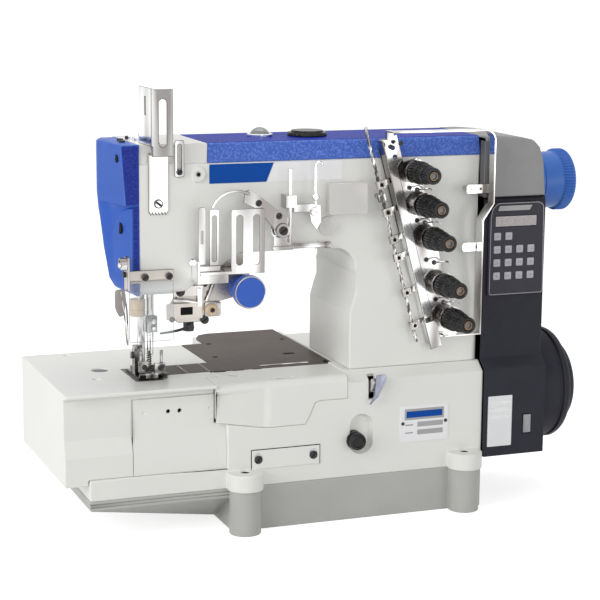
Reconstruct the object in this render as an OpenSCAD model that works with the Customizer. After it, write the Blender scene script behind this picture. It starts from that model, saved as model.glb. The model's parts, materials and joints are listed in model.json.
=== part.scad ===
// Flatbed interlock sewing machine head with a built-in motor and control panel.
// Origin: centre of the four foot bolts on the plane that the feet stand on.
// +X runs to the handwheel, -Y to the operator, +Z up. Millimetres.

/* [Feet and oil pan] */
// Distance between the foot bolts along the machine
foot_pitch_x = 250; // [235:1:265]
// Distance between the foot bolts across the machine
foot_pitch_y = 220; // [205:1:235]
// Radius of a foot column
foot_r = 16.5; // [14:0.5:18]
// Radius of a foot bolt hole
foot_bolt_r = 4.5; // [3:0.5:6]
// How far a foot stands out from the body wall
foot_out = 6; // [2:0.5:8]
// Height of the oil pan
pan_h = 47; // [42:1:52]
// Wall and floor thickness of the oil pan
pan_wall = 6; // [4:0.5:8]
// Radius of the white pads above the feet
pad_r = 19; // [17:0.5:21]
// Height of the white pads
pad_h = 18; // [14:1:20]

/* [Bed] */
// Height of the bed's work surface
bed_top = 158; // [154:1:164]
// How far the body runs past the left foot bolts
body_over_left = 17; // [14:1:20]
// How far the body runs past the right foot bolts
body_over_right = 23; // [20:1:28]
// Wall thickness of the body casting
body_wall = 8; // [6:0.5:10]
// How far the left bed reaches past the body
bed_reach = 170; // [160:1:185]
// Wall thickness of the left bed cover
table_wall = 6; // [5:0.5:8]
// Depth of the bed in front of the needle line
bed_front_step = 8; // [6:0.5:10]
// Thickness of the plates let into the bed
plate_t = 3; // [2:0.25:4]
// Right edge of the looper cover, from the column's left face
cover_right_gap = 7; // [5:0.5:10]
// Depth of the looper cover's seat in the body
cover_plate = 4; // [3:0.25:5]

/* [Arm] */
// Height of the arm's underside
arm_under = 289; // [280:1:300]
// Height of the arm casting above its underside
arm_h = 93; // [88:1:100]
// Distance from the column's left face to the arm's left end
arm_reach = 225; // [215:1:235]
// Width of the column, up to the body's right end
col_w = 151; // [145:1:158]
// Depth of the arm from front to back
arm_depth = 103; // [98:1:108]
// Wall thickness of the arm casting
arm_wall = 7; // [5:0.5:9]
// Height of the blue top cover
cover_h = 20; // [16:1:24]
// Thickness of the blue covers
cover_t = 4; // [3:0.5:5]
// Lowest point of the sewing head
head_bottom = 250; // [246:1:256]
// Thickness of the blue face cover in X
face_t = 27; // [24:1:30]

/* [Shafts and drive] */
// Distance from the shafts' axis to the arm's front face
shaft_inset = 41; // [39:0.5:43]
// Height of the upper shaft above the arm's underside
upper_rise = 58; // [56:1:60]
// Height of the lower shaft
lower_z = 118; // [115:1:121]
// Radius of both shafts
shaft_r = 7.5; // [6:0.5:8.5]
// Outer radius of the shaft bearings
bearing_r = 16; // [14:0.5:18]
// Width of the shaft bearings
bearing_w = 9; // [7:0.5:10]
// Radial clearance of running fits
run_gap = 0.05; // [0.02:0.01:0.1]
// Radius of the toothed pulleys
pulley_r = 20; // [17:0.5:23]
// Thickness of the timing belt
belt_t = 3; // [2:0.25:4]
// Width of the timing belt
belt_w = 18; // [14:1:22]
// Crank radius, half of the needle stroke
crank_r = 15; // [13:0.5:15.5]
// Radius of the motor's large ring
motor_r = 62; // [56:1:63]
// Radius of the handwheel's ribbed rim
wheel_r = 34; // [30:0.5:37]
// Ribs around the handwheel rim
wheel_ribs = 48; // [24:4:60]

/* [Needle area] */
// Radius of the needle bar and of the presser bar
bar_r = 4; // [3:0.25:4.25]
// Distance between the needle bar and the presser bar
bar_pitch = 10; // [9.5:0.25:11]
// Distance from the arm's left end to the needle bar
needle_inset = 22; // [21:0.5:24]
// Distance between neighbouring needles
needle_pitch = 2.8; // [2.4:0.1:3.2]
// Lift of the presser foot
foot_lift = 8; // [4:0.5:8]
// Travel of the feed dogs to each side
feed_travel = 1.5; // [1:0.1:1.8]

/* [Thread tension] */
// Radius of a tension knob
knob_r = 13; // [11:0.5:14]
// Length of a tension knob
knob_len = 39.5; // [36:0.5:43]
// Radius of a tension post
post_r = 3; // [2.5:0.25:3.5]
// Lean of the row of knobs from the vertical, in degrees
knob_lean = 15.3; // [13:0.1:17]
// Radius of the blue adjusting knob
dial_r = 17; // [15:0.5:18]

/* [Control box] */
// Width of the control box
box_w = 74; // [70:1:80]
// Height of the control box's underside
box_bottom = 55; // [50:1:60]
// Wall thickness of the control box
box_wall = 3; // [2:0.25:4]
// Side length of a key
key_s = 6.5; // [5:0.25:7.5]

/* [Hidden] */

// fine gaps
seat = 0.3;

// body
body_left = -foot_pitch_x / 2 - body_over_left;
body_right = foot_pitch_x / 2 + body_over_right;
body_front = -foot_pitch_y / 2 + foot_out;
body_back = foot_pitch_y / 2 - foot_out;
foot_x = foot_pitch_x / 2;
foot_y = foot_pitch_y / 2;
pan_left = body_left + 5;
seat_z = bed_top + 2;
ledge_z = bed_top - plate_t;
flange_z = pan_h + 21.5;

// left bed
table_left = body_left - bed_reach;
table_front = body_front + bed_front_step;
table_back = body_back - 11;
wing_left = table_left + 25;
front_seam = body_left - 99;
lip_y = body_front - 3;
tongue_x = body_left + 11;

// arm
col_left = body_right - col_w;
arm_left = col_left - arm_reach;
arm_front = body_front + 21;
arm_back = arm_front + arm_depth;
col_front = body_front + 13;
col_back = arm_back + 6;
arm_rim = arm_under + arm_h;
arm_top = arm_rim + cover_h;
head_right = arm_left + 72;
head_back = arm_front + 67;

// shafts
shaft_y = arm_front + shaft_inset;
upper_z = arm_under + upper_rise;
web_x = arm_left + 50;
dial_z = arm_under - 36;
lever_x = arm_left + 145;
web_t = bearing_w + 3;
belt_x = body_right - 30;
box_right = body_right + box_w;
wheel_neck = box_right + 2;
wheel_rim = box_right + 35;
wheel_end = box_right + 49;
ring_end = box_right + 36;
motor_end = box_right + 48;

// needle area
needle_x = arm_left + needle_inset;
presser_x = needle_x - bar_pitch;
clamp_top = bed_top + 64;
clamp_bot = bed_top + 47;
tip_z = bed_top + 21;
rod_len = 50;
pin_z = upper_z + crank_r;
eye_z = pin_z - rod_len;
crank_x = needle_x + 12;
blade_z = bed_top - 11.5;
looper_x = needle_x + 10;
looper_z = bed_top - 70;
stand_x = looper_x + 22;
dog_x = 3;
dog_w = 0.9;

// looper cover and the front edges of the plates behind it
lc_left = front_seam + 87;
lc_right = col_left - cover_right_gap;
slide_y = shaft_y - 3;
cover_back = shaft_y - 6;

// tension unit
knob_x = col_left + 68;
knob_z = arm_rim - 14;
knob_at = [0, 36.5, 73, 125, 163.5];
disc_y = arm_front - 21;
knob_end = disc_y - 2.5 - knob_len;

// helpers
module box(x0, x1, y0, y1, z0, z1) {
  translate([x0, y0, z0]) cube([x1 - x0, y1 - y0, z1 - z0]);
}
module xcyl(x0, x1, y, z, r, fn = 48) {
  translate([x0, y, z]) rotate([0, 90, 0]) cylinder(r = r, h = x1 - x0, $fn = fn);
}
module ycyl(x, y0, y1, z, r, fn = 48) {
  translate([x, y1, z]) rotate([90, 0, 0]) cylinder(r = r, h = y1 - y0, $fn = fn);
}
module zcyl(x, y, z0, z1, r, fn = 48) {
  translate([x, y, z0]) cylinder(r = r, h = z1 - z0, $fn = fn);
}
// a drawing in X and Z, extruded from y0 to y1
module xz(y0, y1) {
  translate([0, y1, 0]) rotate([90, 0, 0]) linear_extrude(y1 - y0) children();
}
// a drawing in Y and Z, extruded from x0 to x1
module yz(x0, x1) {
  translate([x0, 0, 0]) rotate([90, 0, 90]) linear_extrude(x1 - x0) children();
}
// a drawing in X and Y, extruded from z0 to z1
module xy(z0, z1) {
  translate([0, 0, z0]) linear_extrude(z1 - z0) children();
}
// a rectangle with round corners
module rrect(x0, x1, y0, y1, r) {
  translate([x0 + r, y0]) square([x1 - x0 - 2 * r, y1 - y0]);
  translate([x0, y0 + r]) square([x1 - x0, y1 - y0 - 2 * r]);
  for (x = [x0 + r, x1 - r], y = [y0 + r, y1 - r]) translate([x, y]) circle(r, $fn = 48);
}
// a slotted screw, head towards -Y, its seat at y
module yscrew(x, y, z, r) {
  difference() {
    union() {
      ycyl(x, y - 0.6 * r, y, z, r, 32);
      ycyl(x, y - 0.1, y + 2 * r, z, 0.5 * r, 24);
    }
    translate([x, y - 0.6 * r, z]) rotate([0, 35, 0]) cube([2.4 * r, 0.5 * r, 0.3 * r], center = true);
  }
}
// the same screw, head up, its seat at z
module zscrew(x, y, z, r) {
  difference() {
    union() {
      zcyl(x, y, z, z + 0.6 * r, r, 32);
      zcyl(x, y, z - 2 * r, z + 0.1, 0.5 * r, 24);
    }
    translate([x, y, z + 0.6 * r]) rotate([0, 0, 35]) cube([2.4 * r, 0.3 * r, 0.5 * r], center = true);
  }
}

// foot bolt holes from z0 to z1
module foot_bolts(z0, z1) {
  for (sx = [-1, 1], sy = [-1, 1]) zcyl(sx * foot_x, sy * foot_y, z0, z1, foot_bolt_r);
}

// grey oil pan with its four foot columns and the wing under the left bed
module base_pan() {
  color("darkgray")
  difference() {
    union() {
      difference() {
        box(pan_left, body_right, body_front, body_back, 0, pan_h);
        box(pan_left + pan_wall, body_right - pan_wall, body_front + pan_wall,
          body_back - pan_wall, pan_wall, pan_h + 1);
      }
      for (sx = [-1, 1], sy = [-1, 1]) zcyl(sx * foot_x, sy * foot_y, 0, pan_h, foot_r);
      difference() {
        union() {
          hull() {
            box(wing_left, pan_left + 1, body_front, table_back, pan_h - 10.1, pan_h - 10);
            box(pan_left, pan_left + 1, body_front + 56, table_back - 40, 2, 3);
          }
          box(wing_left, pan_left + 1, body_front, table_back, pan_h - 10, pan_h);
        }
        hull() {
          box(wing_left + pan_wall, pan_left, body_front + pan_wall, table_back - pan_wall,
            pan_h - 8, pan_h + 1);
          box(pan_left - pan_wall, pan_left, body_front + 62, table_back - 46, 12, 13);
        }
        for (z = [pan_h - 7, pan_h - 4])
          box(wing_left - 1, pan_left - 2, body_front - 1, body_front + 0.8, z, z + 0.8);
      }
    }
    foot_bolts(-1, pan_h + 1);
  }
}

// side view of the body block
module body_side() {
  polygon([[body_front, pan_h], [body_front, bed_top - 8], [body_front + 12, seat_z],
    [body_back, seat_z], [body_back, pan_h]]);
}

// white body casting: body block, left beam, rear shelf, pads and bearing walls
module bed_frame() {
  color("whitesmoke")
  difference() {
    union() {
      difference() {
        union() {
          yz(col_left - 7, body_right) body_side();
          box(body_left, col_left - 6, body_front, body_back, pan_h, ledge_z);
        }
        box(body_left + body_wall, col_left - 14, body_front + body_wall, body_back - body_wall,
          pan_h - 1, ledge_z + 1);
        box(col_left - 6, body_right - body_wall, body_front + body_wall,
          body_back - body_wall, pan_h - 1, seat_z - body_wall);
        box(col_left + 20, body_right - 16, col_front + 20, col_back - 12, 100, seat_z + 1);
        // seat of the looper cover, and the opening behind it
        xz(body_front - 1, body_front + cover_plate + seat) looper_outline(-seat);
        xz(body_front - 1, body_front + body_wall + 1) intersection() {
          looper_outline(5);
          translate([body_left + body_wall, 0]) square([col_left - 14 - body_left - body_wall, seat_z]);
        }
        // seat of the cloth plate beside the column
        box(col_left - 8, col_left, cover_back - seat, body_back + 1, ledge_z, seat_z + 1);
        // slot of the feed lever
        box(col_left + 17.5, col_left + 25.5, body_front - 1, body_front + body_wall + 1,
          bed_top - 29, bed_top - 3);
        // scoop around the push button
        intersection() {
          hull() for (z = [bed_top - 74, bed_top - 57])
            translate([col_left + 9.5, body_front - 4, z]) sphere(r = 14, $fn = 32);
          box(col_left - 10, col_left + 40, body_front - 1, body_front + 6, bed_top - 100, bed_top - 30);
        }
      }
      difference() {
        box(wing_left, body_left + 1, body_front, table_back, pan_h, flange_z);
        difference() {
          box(wing_left + body_wall, body_left + 2, body_front + body_wall,
            table_back - body_wall, pan_h - 1, flange_z + 1);
          box(stand_x - 4, stand_x + web_t + 4, body_front, table_back, pan_h - 2, flange_z + 2);
        }
      }
      // stand of the left bearing, the looper's and the feed bar's guide
      box(stand_x, stand_x + web_t, shaft_y - 20, shaft_y + 20, flange_z - 1, bed_top - 18);
      for (y = [shaft_y - 24, shaft_y + 14])
        box(looper_x - 9, stand_x + web_t, y, y + 10, looper_z - 9, looper_z + 9);
      // lugs of the feed lever
      for (x = [col_left + 8, col_left + 29])
        box(x, x + 6, body_front + body_wall - 1, body_front + body_wall + 15, bed_top - 30, bed_top - 14);
      // rear shelf under the cloth plate
      difference() {
        box(col_left - 99, col_left + 10, body_back - 1, body_back + 40, bed_top - 22, ledge_z);
        box(col_left - 93, col_left + 4, body_back, body_back + 34, bed_top - 23, ledge_z - 6);
      }
      for (sx = [-1, 1], sy = [-1, 1]) zcyl(sx * foot_x, sy * foot_y, pan_h, pan_h + pad_h, pad_r);
      // bearing bosses
      xcyl(body_right - web_t, body_right - 1, shaft_y, lower_z, bearing_r + 6);
      xcyl(col_left - 14, col_left - 14 + web_t, shaft_y, lower_z, bearing_r + 6);
    }
    foot_bolts(pan_h - 1, pan_h + pad_h + 1);
    for (x = [[body_right - web_t, bearing_w], [col_left - 14, bearing_w], [stand_x, bearing_w]])
      xcyl(x[0] - 0.01, x[0] + x[1], shaft_y, lower_z, bearing_r + run_gap);
    for (x = [body_right - web_t - 1, col_left - 15, stand_x - 1])
      xcyl(x, x + web_t + 3, shaft_y, lower_z, bearing_r - 4);
    xcyl(body_left - 1, body_left + body_wall + 1, shaft_y, lower_z, shaft_r + 2);
    // looper rocker shaft
    ycyl(looper_x, shaft_y - 25, shaft_y + 25, looper_z, 5 + run_gap);
    // push button
    ycyl(col_left + 2.4, body_front - 1, body_front + body_wall + 12, bed_top - 71.6, 9.5 + seat);
    // feed lever pivot
    xcyl(col_left + 5, col_left + 38, body_front + body_wall + 8, bed_top - 22, 3 + run_gap);
  }
}

// front view of the left bed and its cover plate, in Y and Z
module bed_side(back, top, low) {
  polygon([[table_front - 5, low], [table_front - 5, bed_top - 66], [table_front, bed_top - 48],
    [table_front, bed_top - 8], [table_front - 3, bed_top - 5], [lip_y, bed_top - 4],
    [lip_y, top], [back, top], [back, low]]);
}

// white cover of the left bed, with the seats of the plates
module bed_table() {
  color("white")
  difference() {
    union() {
      yz(table_left, body_left) bed_side(table_back, bed_top, flange_z);
      box(body_left - 1, tongue_x, shaft_y + 39, table_back, ledge_z, bed_top);
      box(table_left, wing_left - 1, table_front - 5, table_back, flange_z - 6, flange_z + 1);
    }
    box(table_left + table_wall, wing_left - 1 - table_wall, table_front + 1,
      table_back - table_wall, flange_z - 7, bed_top - 10);
    box(table_left + table_wall, body_left + 1, table_front + 1,
      table_back - table_wall, flange_z - 1, bed_top - 10);
    // opening behind the front cover and the looper cover
    box(front_seam - seat, body_left + 1, lip_y - 1, table_front + 2, flange_z - 1, bed_top - 11);
    box(lc_left - seat, body_left + 1, lip_y - 1, body_front + 34, flange_z - 1, bed_top + 1);
    // recess of the needle plate and the slide plates
    box(needle_x - 22, needle_x + 8, shaft_y - 24, shaft_y + 39, ledge_z, bed_top + 1);
    box(needle_x + 7, body_left + 1, slide_y - seat, shaft_y + 39, ledge_z, bed_top + 1);
    box(needle_x - 18, needle_x + 4, shaft_y - 20, shaft_y + 35, bed_top - 11, bed_top + 1);
    box(needle_x + 3, body_left + 1, shaft_y - 20, slide_y + 5, bed_top - 11, bed_top - 8);
    box(needle_x + 3, body_left + 1, slide_y + 4, shaft_y + 35, bed_top - 11, bed_top + 1);
    // plug recess and screw holes
    zcyl(needle_x - 43, shaft_y + 41, bed_top - 2, bed_top + 1, 9);
    for (p = [[needle_x - 57, shaft_y], [needle_x - 59, shaft_y + 122]])
      zcyl(p[0], p[1], bed_top - 1.5, bed_top + 1, 4);
  }
}

// outline of the front cover in X and Z
module front_outline() {
  polygon([[front_seam, flange_z], [body_left, flange_z], [body_left, bed_top - 43],
    [lc_left - 0.5, bed_top - 41.5], [lc_left - 0.5, bed_top - 11.3], [front_seam, bed_top - 11.3]]);
}

// white cover plate on the front of the left bed
module front_cover() {
  color("white")
  difference() {
    intersection() {
      yz(front_seam, body_left) bed_side(table_front + 4, bed_top - 9, flange_z);
      xz(body_front - 10, table_front + 4) front_outline();
    }
    for (x = [front_seam + 38, front_seam + 50])
      ycyl(x, lip_y, table_front + 5, bed_top - 26, 2.2, 32);
    for (x = [front_seam + 12, front_seam + 82])
      ycyl(x, lip_y, table_front + 0.8, bed_top - 26, 1.6, 32);
  }
}

// outline of the looper cover in X and Z, inset by g
module looper_outline(g = 0) {
  polygon([[lc_left + g, bed_top - 41 + g], [lc_left + 49, bed_top - 49.7 + g],
    [lc_right - 47.5 - g, bed_top - 49.4 + g], [lc_right - 42 - g, bed_top - 40 + g],
    [lc_right - 36.6 - g, bed_top - 27 + g], [lc_right - 30, bed_top - 25.4 + g],
    [lc_right - g, bed_top - 25.4 + g], [lc_right - g, bed_top + 3], [lc_left + g, bed_top + 3]]);
}

// white looper cover: a bent shell hinged at its lower edge
module looper_cover() {
  color("white")
  difference() {
    union() {
      box(body_left + seat, lc_right, body_front + 33, cover_back - seat, ledge_z, bed_top);
      intersection() {
        yz(lc_left, lc_right) difference() {
          union() {
            translate([body_front - 1, bed_top - 60]) square([34.3, 52]);
            translate([body_front + 7, bed_top - 10]) square([26.3, 10]);
            translate([body_front + 7, bed_top - 8]) circle(8, $fn = 64);
          }
          translate([body_front + cover_plate, bed_top - 61]) square([40, 61 - plate_t]);
        }
        xz(body_front - 10, body_front + 40) looper_outline();
      }
    }
    // notch and dimples of its catch
    box(body_left + 3, body_left + 16, cover_back - 2.4, cover_back, ledge_z - 1, bed_top + 1);
    for (p = [[23, 29], [53, 8], [73, 8]])
      zcyl(body_left + p[0], body_front + p[1], bed_top - 0.6, bed_top + 1, 2.5, 24);
    // the slanted left end falls back to the plane of the front cover
    xy(bed_top - 60, bed_top - 12)
      polygon([[lc_left - 1, body_front - 9], [lc_left + 37, body_front - 9], [lc_left + 37, body_front - 1],
        [lc_left + 8, body_front + 2.4], [lc_left - 1, body_front + 2.6]]);
  }
}

// small cover plate low on the body, with its two screws' holes
module adjust_cover() {
  x0 = col_left - 113;
  x1 = col_left - 38;
  color("white")
  difference() {
    box(x0, x1, body_front - 1.2, body_front, pan_h + 18, pan_h + 38);
    for (x = [x0 + 7, x1 - 7]) ycyl(x, body_front - 2, body_front + 1, pan_h + 30.8, 4, 40);
  }
}

// steel needle plate with needle slots and feed dog slots
module needle_plate() {
  color("silver")
  difference() {
    box(needle_x - 21.7, needle_x + 7.7, shaft_y - 23.7, shaft_y + 38.7, ledge_z, bed_top);
    hull() for (s = [-1, 1])
      zcyl(needle_x + s * needle_pitch, shaft_y, ledge_z - 1, bed_top + 1, 1.6, 32);
    for (x = [needle_x - dog_x, needle_x + dog_x], y = [[3, 33], [-21, -3]])
      box(x - dog_w - 0.7, x + dog_w + 0.7, shaft_y + y[0], shaft_y + y[1], ledge_z - 1, bed_top + 1);
    for (y = [-18, 33]) zcyl(needle_x - 15, shaft_y + y, bed_top - 1, bed_top + 1, 2.5, 32);
  }
}

// the two small brown plates between needle plate and cloth plate
module slide_plates() {
  color("dimgray")
  for (x = [[needle_x + 8, needle_x + 35.7], [needle_x + 36, body_left - 0.3]])
    box(x[0], x[1], slide_y, shaft_y + 38.7, ledge_z, bed_top);
}

// large brown cloth plate
module cloth_plate() {
  x0 = tongue_x + seat;
  x1 = col_left - seat;
  y0 = cover_back;
  color("dimgray")
  difference() {
    xy(ledge_z, bed_top)
      polygon([[body_left + seat, slide_y], [x0 + 10, slide_y], [x0 + 10, y0], [x1, y0],
        [x1, body_back + 40], [x0 + 46, body_back + 40], [x0 + 34, body_back + 34],
        [x0 + 28, body_back + 22], [x0 + 28, table_back], [x0, table_back], [x0, shaft_y + 39 - seat],
        [body_left + seat, shaft_y + 39 - seat]]);
    for (p = [[x0 + 31, table_back - 5], [x0 + 16, table_back - 72], [x1 - 9, body_back - 17]])
      zcyl(p[0], p[1], bed_top - 1.5, bed_top + 1, 2.6, 32);
    zcyl(x1 - 6, y0 + 7, bed_top - 1.5, bed_top + 1, 3.5, 32);
    // finger slot
    hull() for (d = [0, 7]) zcyl(x1 - 32 + d, body_back - 91, bed_top - 2, bed_top + 1, 3.6, 32);
  }
}

// metal nameplate, left bare
module nameplate() {
  x0 = col_left + 54;
  color("lightgray")
  difference() {
    box(x0, x0 + 56, body_front - 0.8, body_front, bed_top - 79, bed_top - 40);
    box(x0 + 5, x0 + 51, body_front - 1, body_front - 0.5, bed_top - 55, bed_top - 43);
    for (z = [bed_top - 63, bed_top - 71])
      box(x0 + 17, x0 + 49, body_front - 1, body_front - 0.6, z, z + 5);
  }
}

// blue field and white field stuck on the arm, both bare
module arm_labels() {
  color("royalblue")
  xz(arm_front - 0.4, arm_front)
    polygon([[arm_left + 73, arm_rim - 21], [arm_left + 134, arm_rim - 21], [arm_left + 142, arm_rim - 1.5],
      [arm_left + 73, arm_rim - 1.5]]);
  color("white")
  xz(arm_front - 0.4, arm_front)
    polygon([[arm_left + 135, arm_rim - 21], [arm_left + 217, arm_rim - 21], [arm_left + 217, arm_rim - 1.5],
      [arm_left + 143, arm_rim - 1.5]]);
}

// front view of the arm casting
module arm_outline(top) {
  difference() {
    polygon([[arm_left, top], [arm_left, head_bottom], [arm_left + 43, head_bottom],
      [arm_left + 76, arm_under - 19], [arm_left + 106, arm_under], [col_left - 14, arm_under],
      [col_left + 7, arm_under - 27], [col_left + 7, arm_under - 44], [col_left, arm_under - 68],
      [col_left, seat_z], [body_right, seat_z], [body_right, top]]);
    translate([col_left - 14, arm_under - 21]) circle(20.9, $fn = 96);
  }
}

// white arm casting: column, arm and head, hollow for the shafts and the belt
module arm_frame() {
  color("whitesmoke")
  difference() {
    union() {
      // arm beam
      yz(arm_left, body_right) difference() {
        union() {
          rrect(arm_front, arm_back, arm_under, arm_rim, 9);
          translate([arm_front, arm_rim - 12]) square([arm_depth, 12]);
        }
        translate([arm_front - 1, arm_rim]) square([arm_depth + 2, 20]);
      }
      // roof of the head
      box(arm_left, head_right, arm_front + 2, arm_back, arm_rim - 1, arm_top);
      // head
      intersection() {
        xz(arm_front, arm_back) arm_outline(arm_rim);
        yz(arm_left, col_left - 60) polygon([[arm_front, head_bottom + 4], [arm_front + 4, head_bottom],
          [head_back, head_bottom], [head_back, head_bottom + 27], [arm_back - 12, arm_under + 23],
          [arm_back - 12, arm_under + 30], [arm_front, arm_under + 30]]);
      }
      // column
      intersection() {
        xz(col_front, col_back) arm_outline(arm_rim);
        xy(seat_z, arm_rim) rrect(col_left - 40, body_right, col_front, col_back, 10);
        yz(col_left - 34, body_right) polygon([[col_front, seat_z], [col_front, seat_z + 76],
          [arm_front, arm_under + 14], [arm_front, arm_rim], [arm_back, arm_rim],
          [arm_back, arm_under + 14], [col_back, seat_z + 76], [col_back, seat_z]]);
      }
      // boss of the thread hole
      ycyl(arm_left + 61, arm_front - 3, arm_front + 1, arm_rim - 11, 8);
    }
    // inside of the arm, left and right of the bearing web
    box(arm_left - 1, web_x, arm_front + arm_wall, arm_back - arm_wall, arm_under + 8, arm_top - 8);
    box(arm_left - 1, web_x, arm_front + arm_wall, head_back - arm_wall, head_bottom + 12, arm_rim - 8);
    // room for the rod's lower eye
    box(arm_left - 1, web_x, arm_front + arm_wall, head_back - arm_wall + 4, arm_under - 5, arm_under + 9);
    box(web_x + web_t, body_right - body_wall, arm_front + arm_wall, arm_back - arm_wall,
      arm_under + arm_wall, arm_rim - 8);
    box(head_right + 1, body_right - body_wall, arm_front + arm_wall, arm_back - arm_wall,
      arm_rim - 9, arm_rim + 1);
    // inside of the column
    box(col_left + 16, body_right - body_wall, arm_front + arm_wall, arm_back - arm_wall,
      seat_z - 1, arm_under + arm_wall + 1);
    // bearing seats of the upper shaft
    xcyl(web_x + web_t - bearing_w, web_x + web_t + 1, shaft_y, upper_z, bearing_r + run_gap);
    xcyl(web_x - 1, web_x + web_t, shaft_y, upper_z, bearing_r - 4);
    xcyl(body_right - body_wall - 1, body_right - body_wall + 6, shaft_y, upper_z, bearing_r + run_gap);
    xcyl(body_right - body_wall, body_right + 1, shaft_y, upper_z, bearing_r - 4);
    // guides of the needle bar and the presser bar
    for (x = [needle_x, presser_x]) {
      zcyl(x, shaft_y, head_bottom - 1, head_bottom + 13, bar_r + run_gap);
      zcyl(x, shaft_y, arm_top - 9, arm_top + 1, bar_r + run_gap);
    }
    ycyl(arm_left + 61, arm_front - 4, arm_front + 3, arm_rim - 11, 2.2, 32);
    // screw holes of the thread guides
    ycyl(arm_left + 19, arm_front - 1, arm_front + 9, arm_under + 54, 2 + seat, 32);
    ycyl(arm_left + 41, arm_front - 1, arm_front + 6, arm_rim - 8, 1.3 + seat, 32);
    zcyl(arm_left + 16, arm_front + 9, arm_top - 9, arm_top + 1, 1.5 + seat, 32);
    // screw hole of the finger guard
    ycyl(arm_left + 4, arm_front - 1, arm_front + 5, head_bottom + 20, 1.7 + seat, 32);
  }
}

// blue top cover
module top_cover() {
  color("royalblue")
  difference() {
    yz(head_right, body_right) polygon([[arm_front - 1, arm_rim], [arm_front + 3, arm_top - 2],
      [arm_front + 6, arm_top], [arm_back - 5, arm_top], [arm_back, arm_rim]]);
    yz(head_right + cover_t, body_right - cover_t) polygon([[arm_front - 1 + cover_t, arm_rim - 1],
      [arm_front + 3 + cover_t, arm_top - cover_t], [arm_back - 5 - cover_t, arm_top - cover_t],
      [arm_back - cover_t, arm_rim - 1]]);
    zcyl(col_left - 28, shaft_y + 8, arm_top - cover_t - 1, arm_top + 1, 12 + run_gap);
    zcyl(col_left - 78, shaft_y + 16, arm_top - cover_t - 1, arm_top + 1, 8 + run_gap);
  }
}

// blue face cover on the arm's left end
module face_cover() {
  x1 = arm_left;
  color("royalblue")
  difference() {
    hull() {
      yz(x1 - 8, x1) polygon([[arm_front, arm_top], [arm_front, head_bottom + 3],
        [arm_front + 5, head_bottom], [head_back - 14, head_bottom], [head_back - 8, head_bottom + 27],
        [arm_back - 16, arm_under + 29], [arm_back - 14, arm_top]]);
      yz(x1 - 18, x1 - 17) polygon([[arm_front + 1, arm_top], [arm_front + 3, head_bottom + 8],
        [head_back - 20, head_bottom + 6], [arm_back - 24, arm_under + 29], [arm_back - 20, arm_top]]);
      yz(x1 - face_t, x1 - face_t + 1) polygon([[arm_front + 16, arm_top - 3],
        [arm_front + 16, arm_under + 42], [arm_back - 26, arm_under + 42], [arm_back - 26, arm_top - 3]]);
    }
    hull() {
      yz(x1 - 6, x1 + 1) polygon([[arm_front + cover_t, arm_top - cover_t],
        [arm_front + cover_t, head_bottom + 8], [head_back - 16, head_bottom + 8],
        [head_back - 14, head_bottom + 27],
        [arm_back - 22, arm_under + 29], [arm_back - 20, arm_top - cover_t]]);
      yz(x1 - face_t + cover_t, x1 - face_t + cover_t + 1) polygon([[arm_front + 20, arm_top - 8],
        [arm_front + 20, arm_under + 46], [arm_back - 32, arm_under + 46], [arm_back - 32, arm_top - 8]]);
    }
    for (p = [[arm_front + 14, arm_top - 19], [arm_front + 17, arm_under + 23], [arm_front + 4, 274]])
      xcyl(x1 - face_t - 5, x1 + 1, p[0], p[1], 2.4, 32);
  }
}

// black oil filler cap on the top cover
module filler_cap() {
  x = col_left - 28;
  y = shaft_y + 8;
  color("black")
  difference() {
    union() {
      zcyl(x, y, arm_top, arm_top + 4, 21, 72);
      zcyl(x, y, arm_top + 3.9, arm_top + 6, 17, 72);
      zcyl(x, y, arm_top - cover_t, arm_top + 0.1, 12);
    }
    box(x - 14, x + 14, y - 1.5, y + 1.5, arm_top + 4.5, arm_top + 7);
  }
}

// clear oil sight dome in its chrome ring
module oil_sight() {
  x = col_left - 78;
  y = shaft_y + 16;
  color("silver")
  union() {
    zcyl(x, y, arm_top, arm_top + 3, 13.5, 72);
    zcyl(x, y, arm_top - cover_t, arm_top + 0.1, 8);
    intersection() {
      translate([x, y, arm_top - 4]) sphere(r = 13.5, $fn = 64);
      zcyl(x, y, arm_top + 2.9, arm_top + 12, 11);
    }
  }
}

// black control box and motor cover on the right end
module motor_cover() {
  y0 = body_front - 4;
  color("black")
  difference() {
    yz(body_right, box_right) polygon([[y0, box_bottom], [y0, bed_top - 5], [y0 + 12, bed_top + 5],
      [y0 + 12, upper_z - 15], [y0 + 13.5, upper_z - 15], [y0 + 13.5, upper_z - 10], [col_back, upper_z - 10],
      [col_back, box_bottom]]);
    yz(body_right - 1, box_right - box_wall) polygon([[y0 + box_wall, box_bottom + box_wall],
      [y0 + box_wall, bed_top - 7], [y0 + 12 + box_wall, bed_top + 3], [y0 + 12 + box_wall, upper_z - 9],
      [col_back - box_wall, upper_z - 9], [col_back - box_wall, box_bottom + box_wall]]);
    xcyl(box_right - box_wall - 1, box_right + 1, shaft_y, lower_z, motor_r - 9, 96);
    // bare window low on the front
    box(body_right + 48, body_right + 58, y0 - 1, y0 + 1, bed_top - 80, bed_top - 59);
  }
}

// outline of the grey cap in X and Z, inset by g
module cap_outline(g) {
  polygon([[body_right - (g > 0 ? 1 : 0), upper_z - 10 - (g > 0 ? 1 : 0)],
    [box_right - 1 - g, upper_z - 10 - (g > 0 ? 1 : 0)], [box_right - 4 - g, upper_z + 26],
    [box_right - 9 - g, upper_z + 42], [box_right - 17 - g, upper_z + 50 - g / 2],
    [box_right - 30 - g, arm_top - 2 - g], [body_right + 20, arm_top - g],
    [body_right - (g > 0 ? 1 : 0), arm_top - g]]);
}

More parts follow.
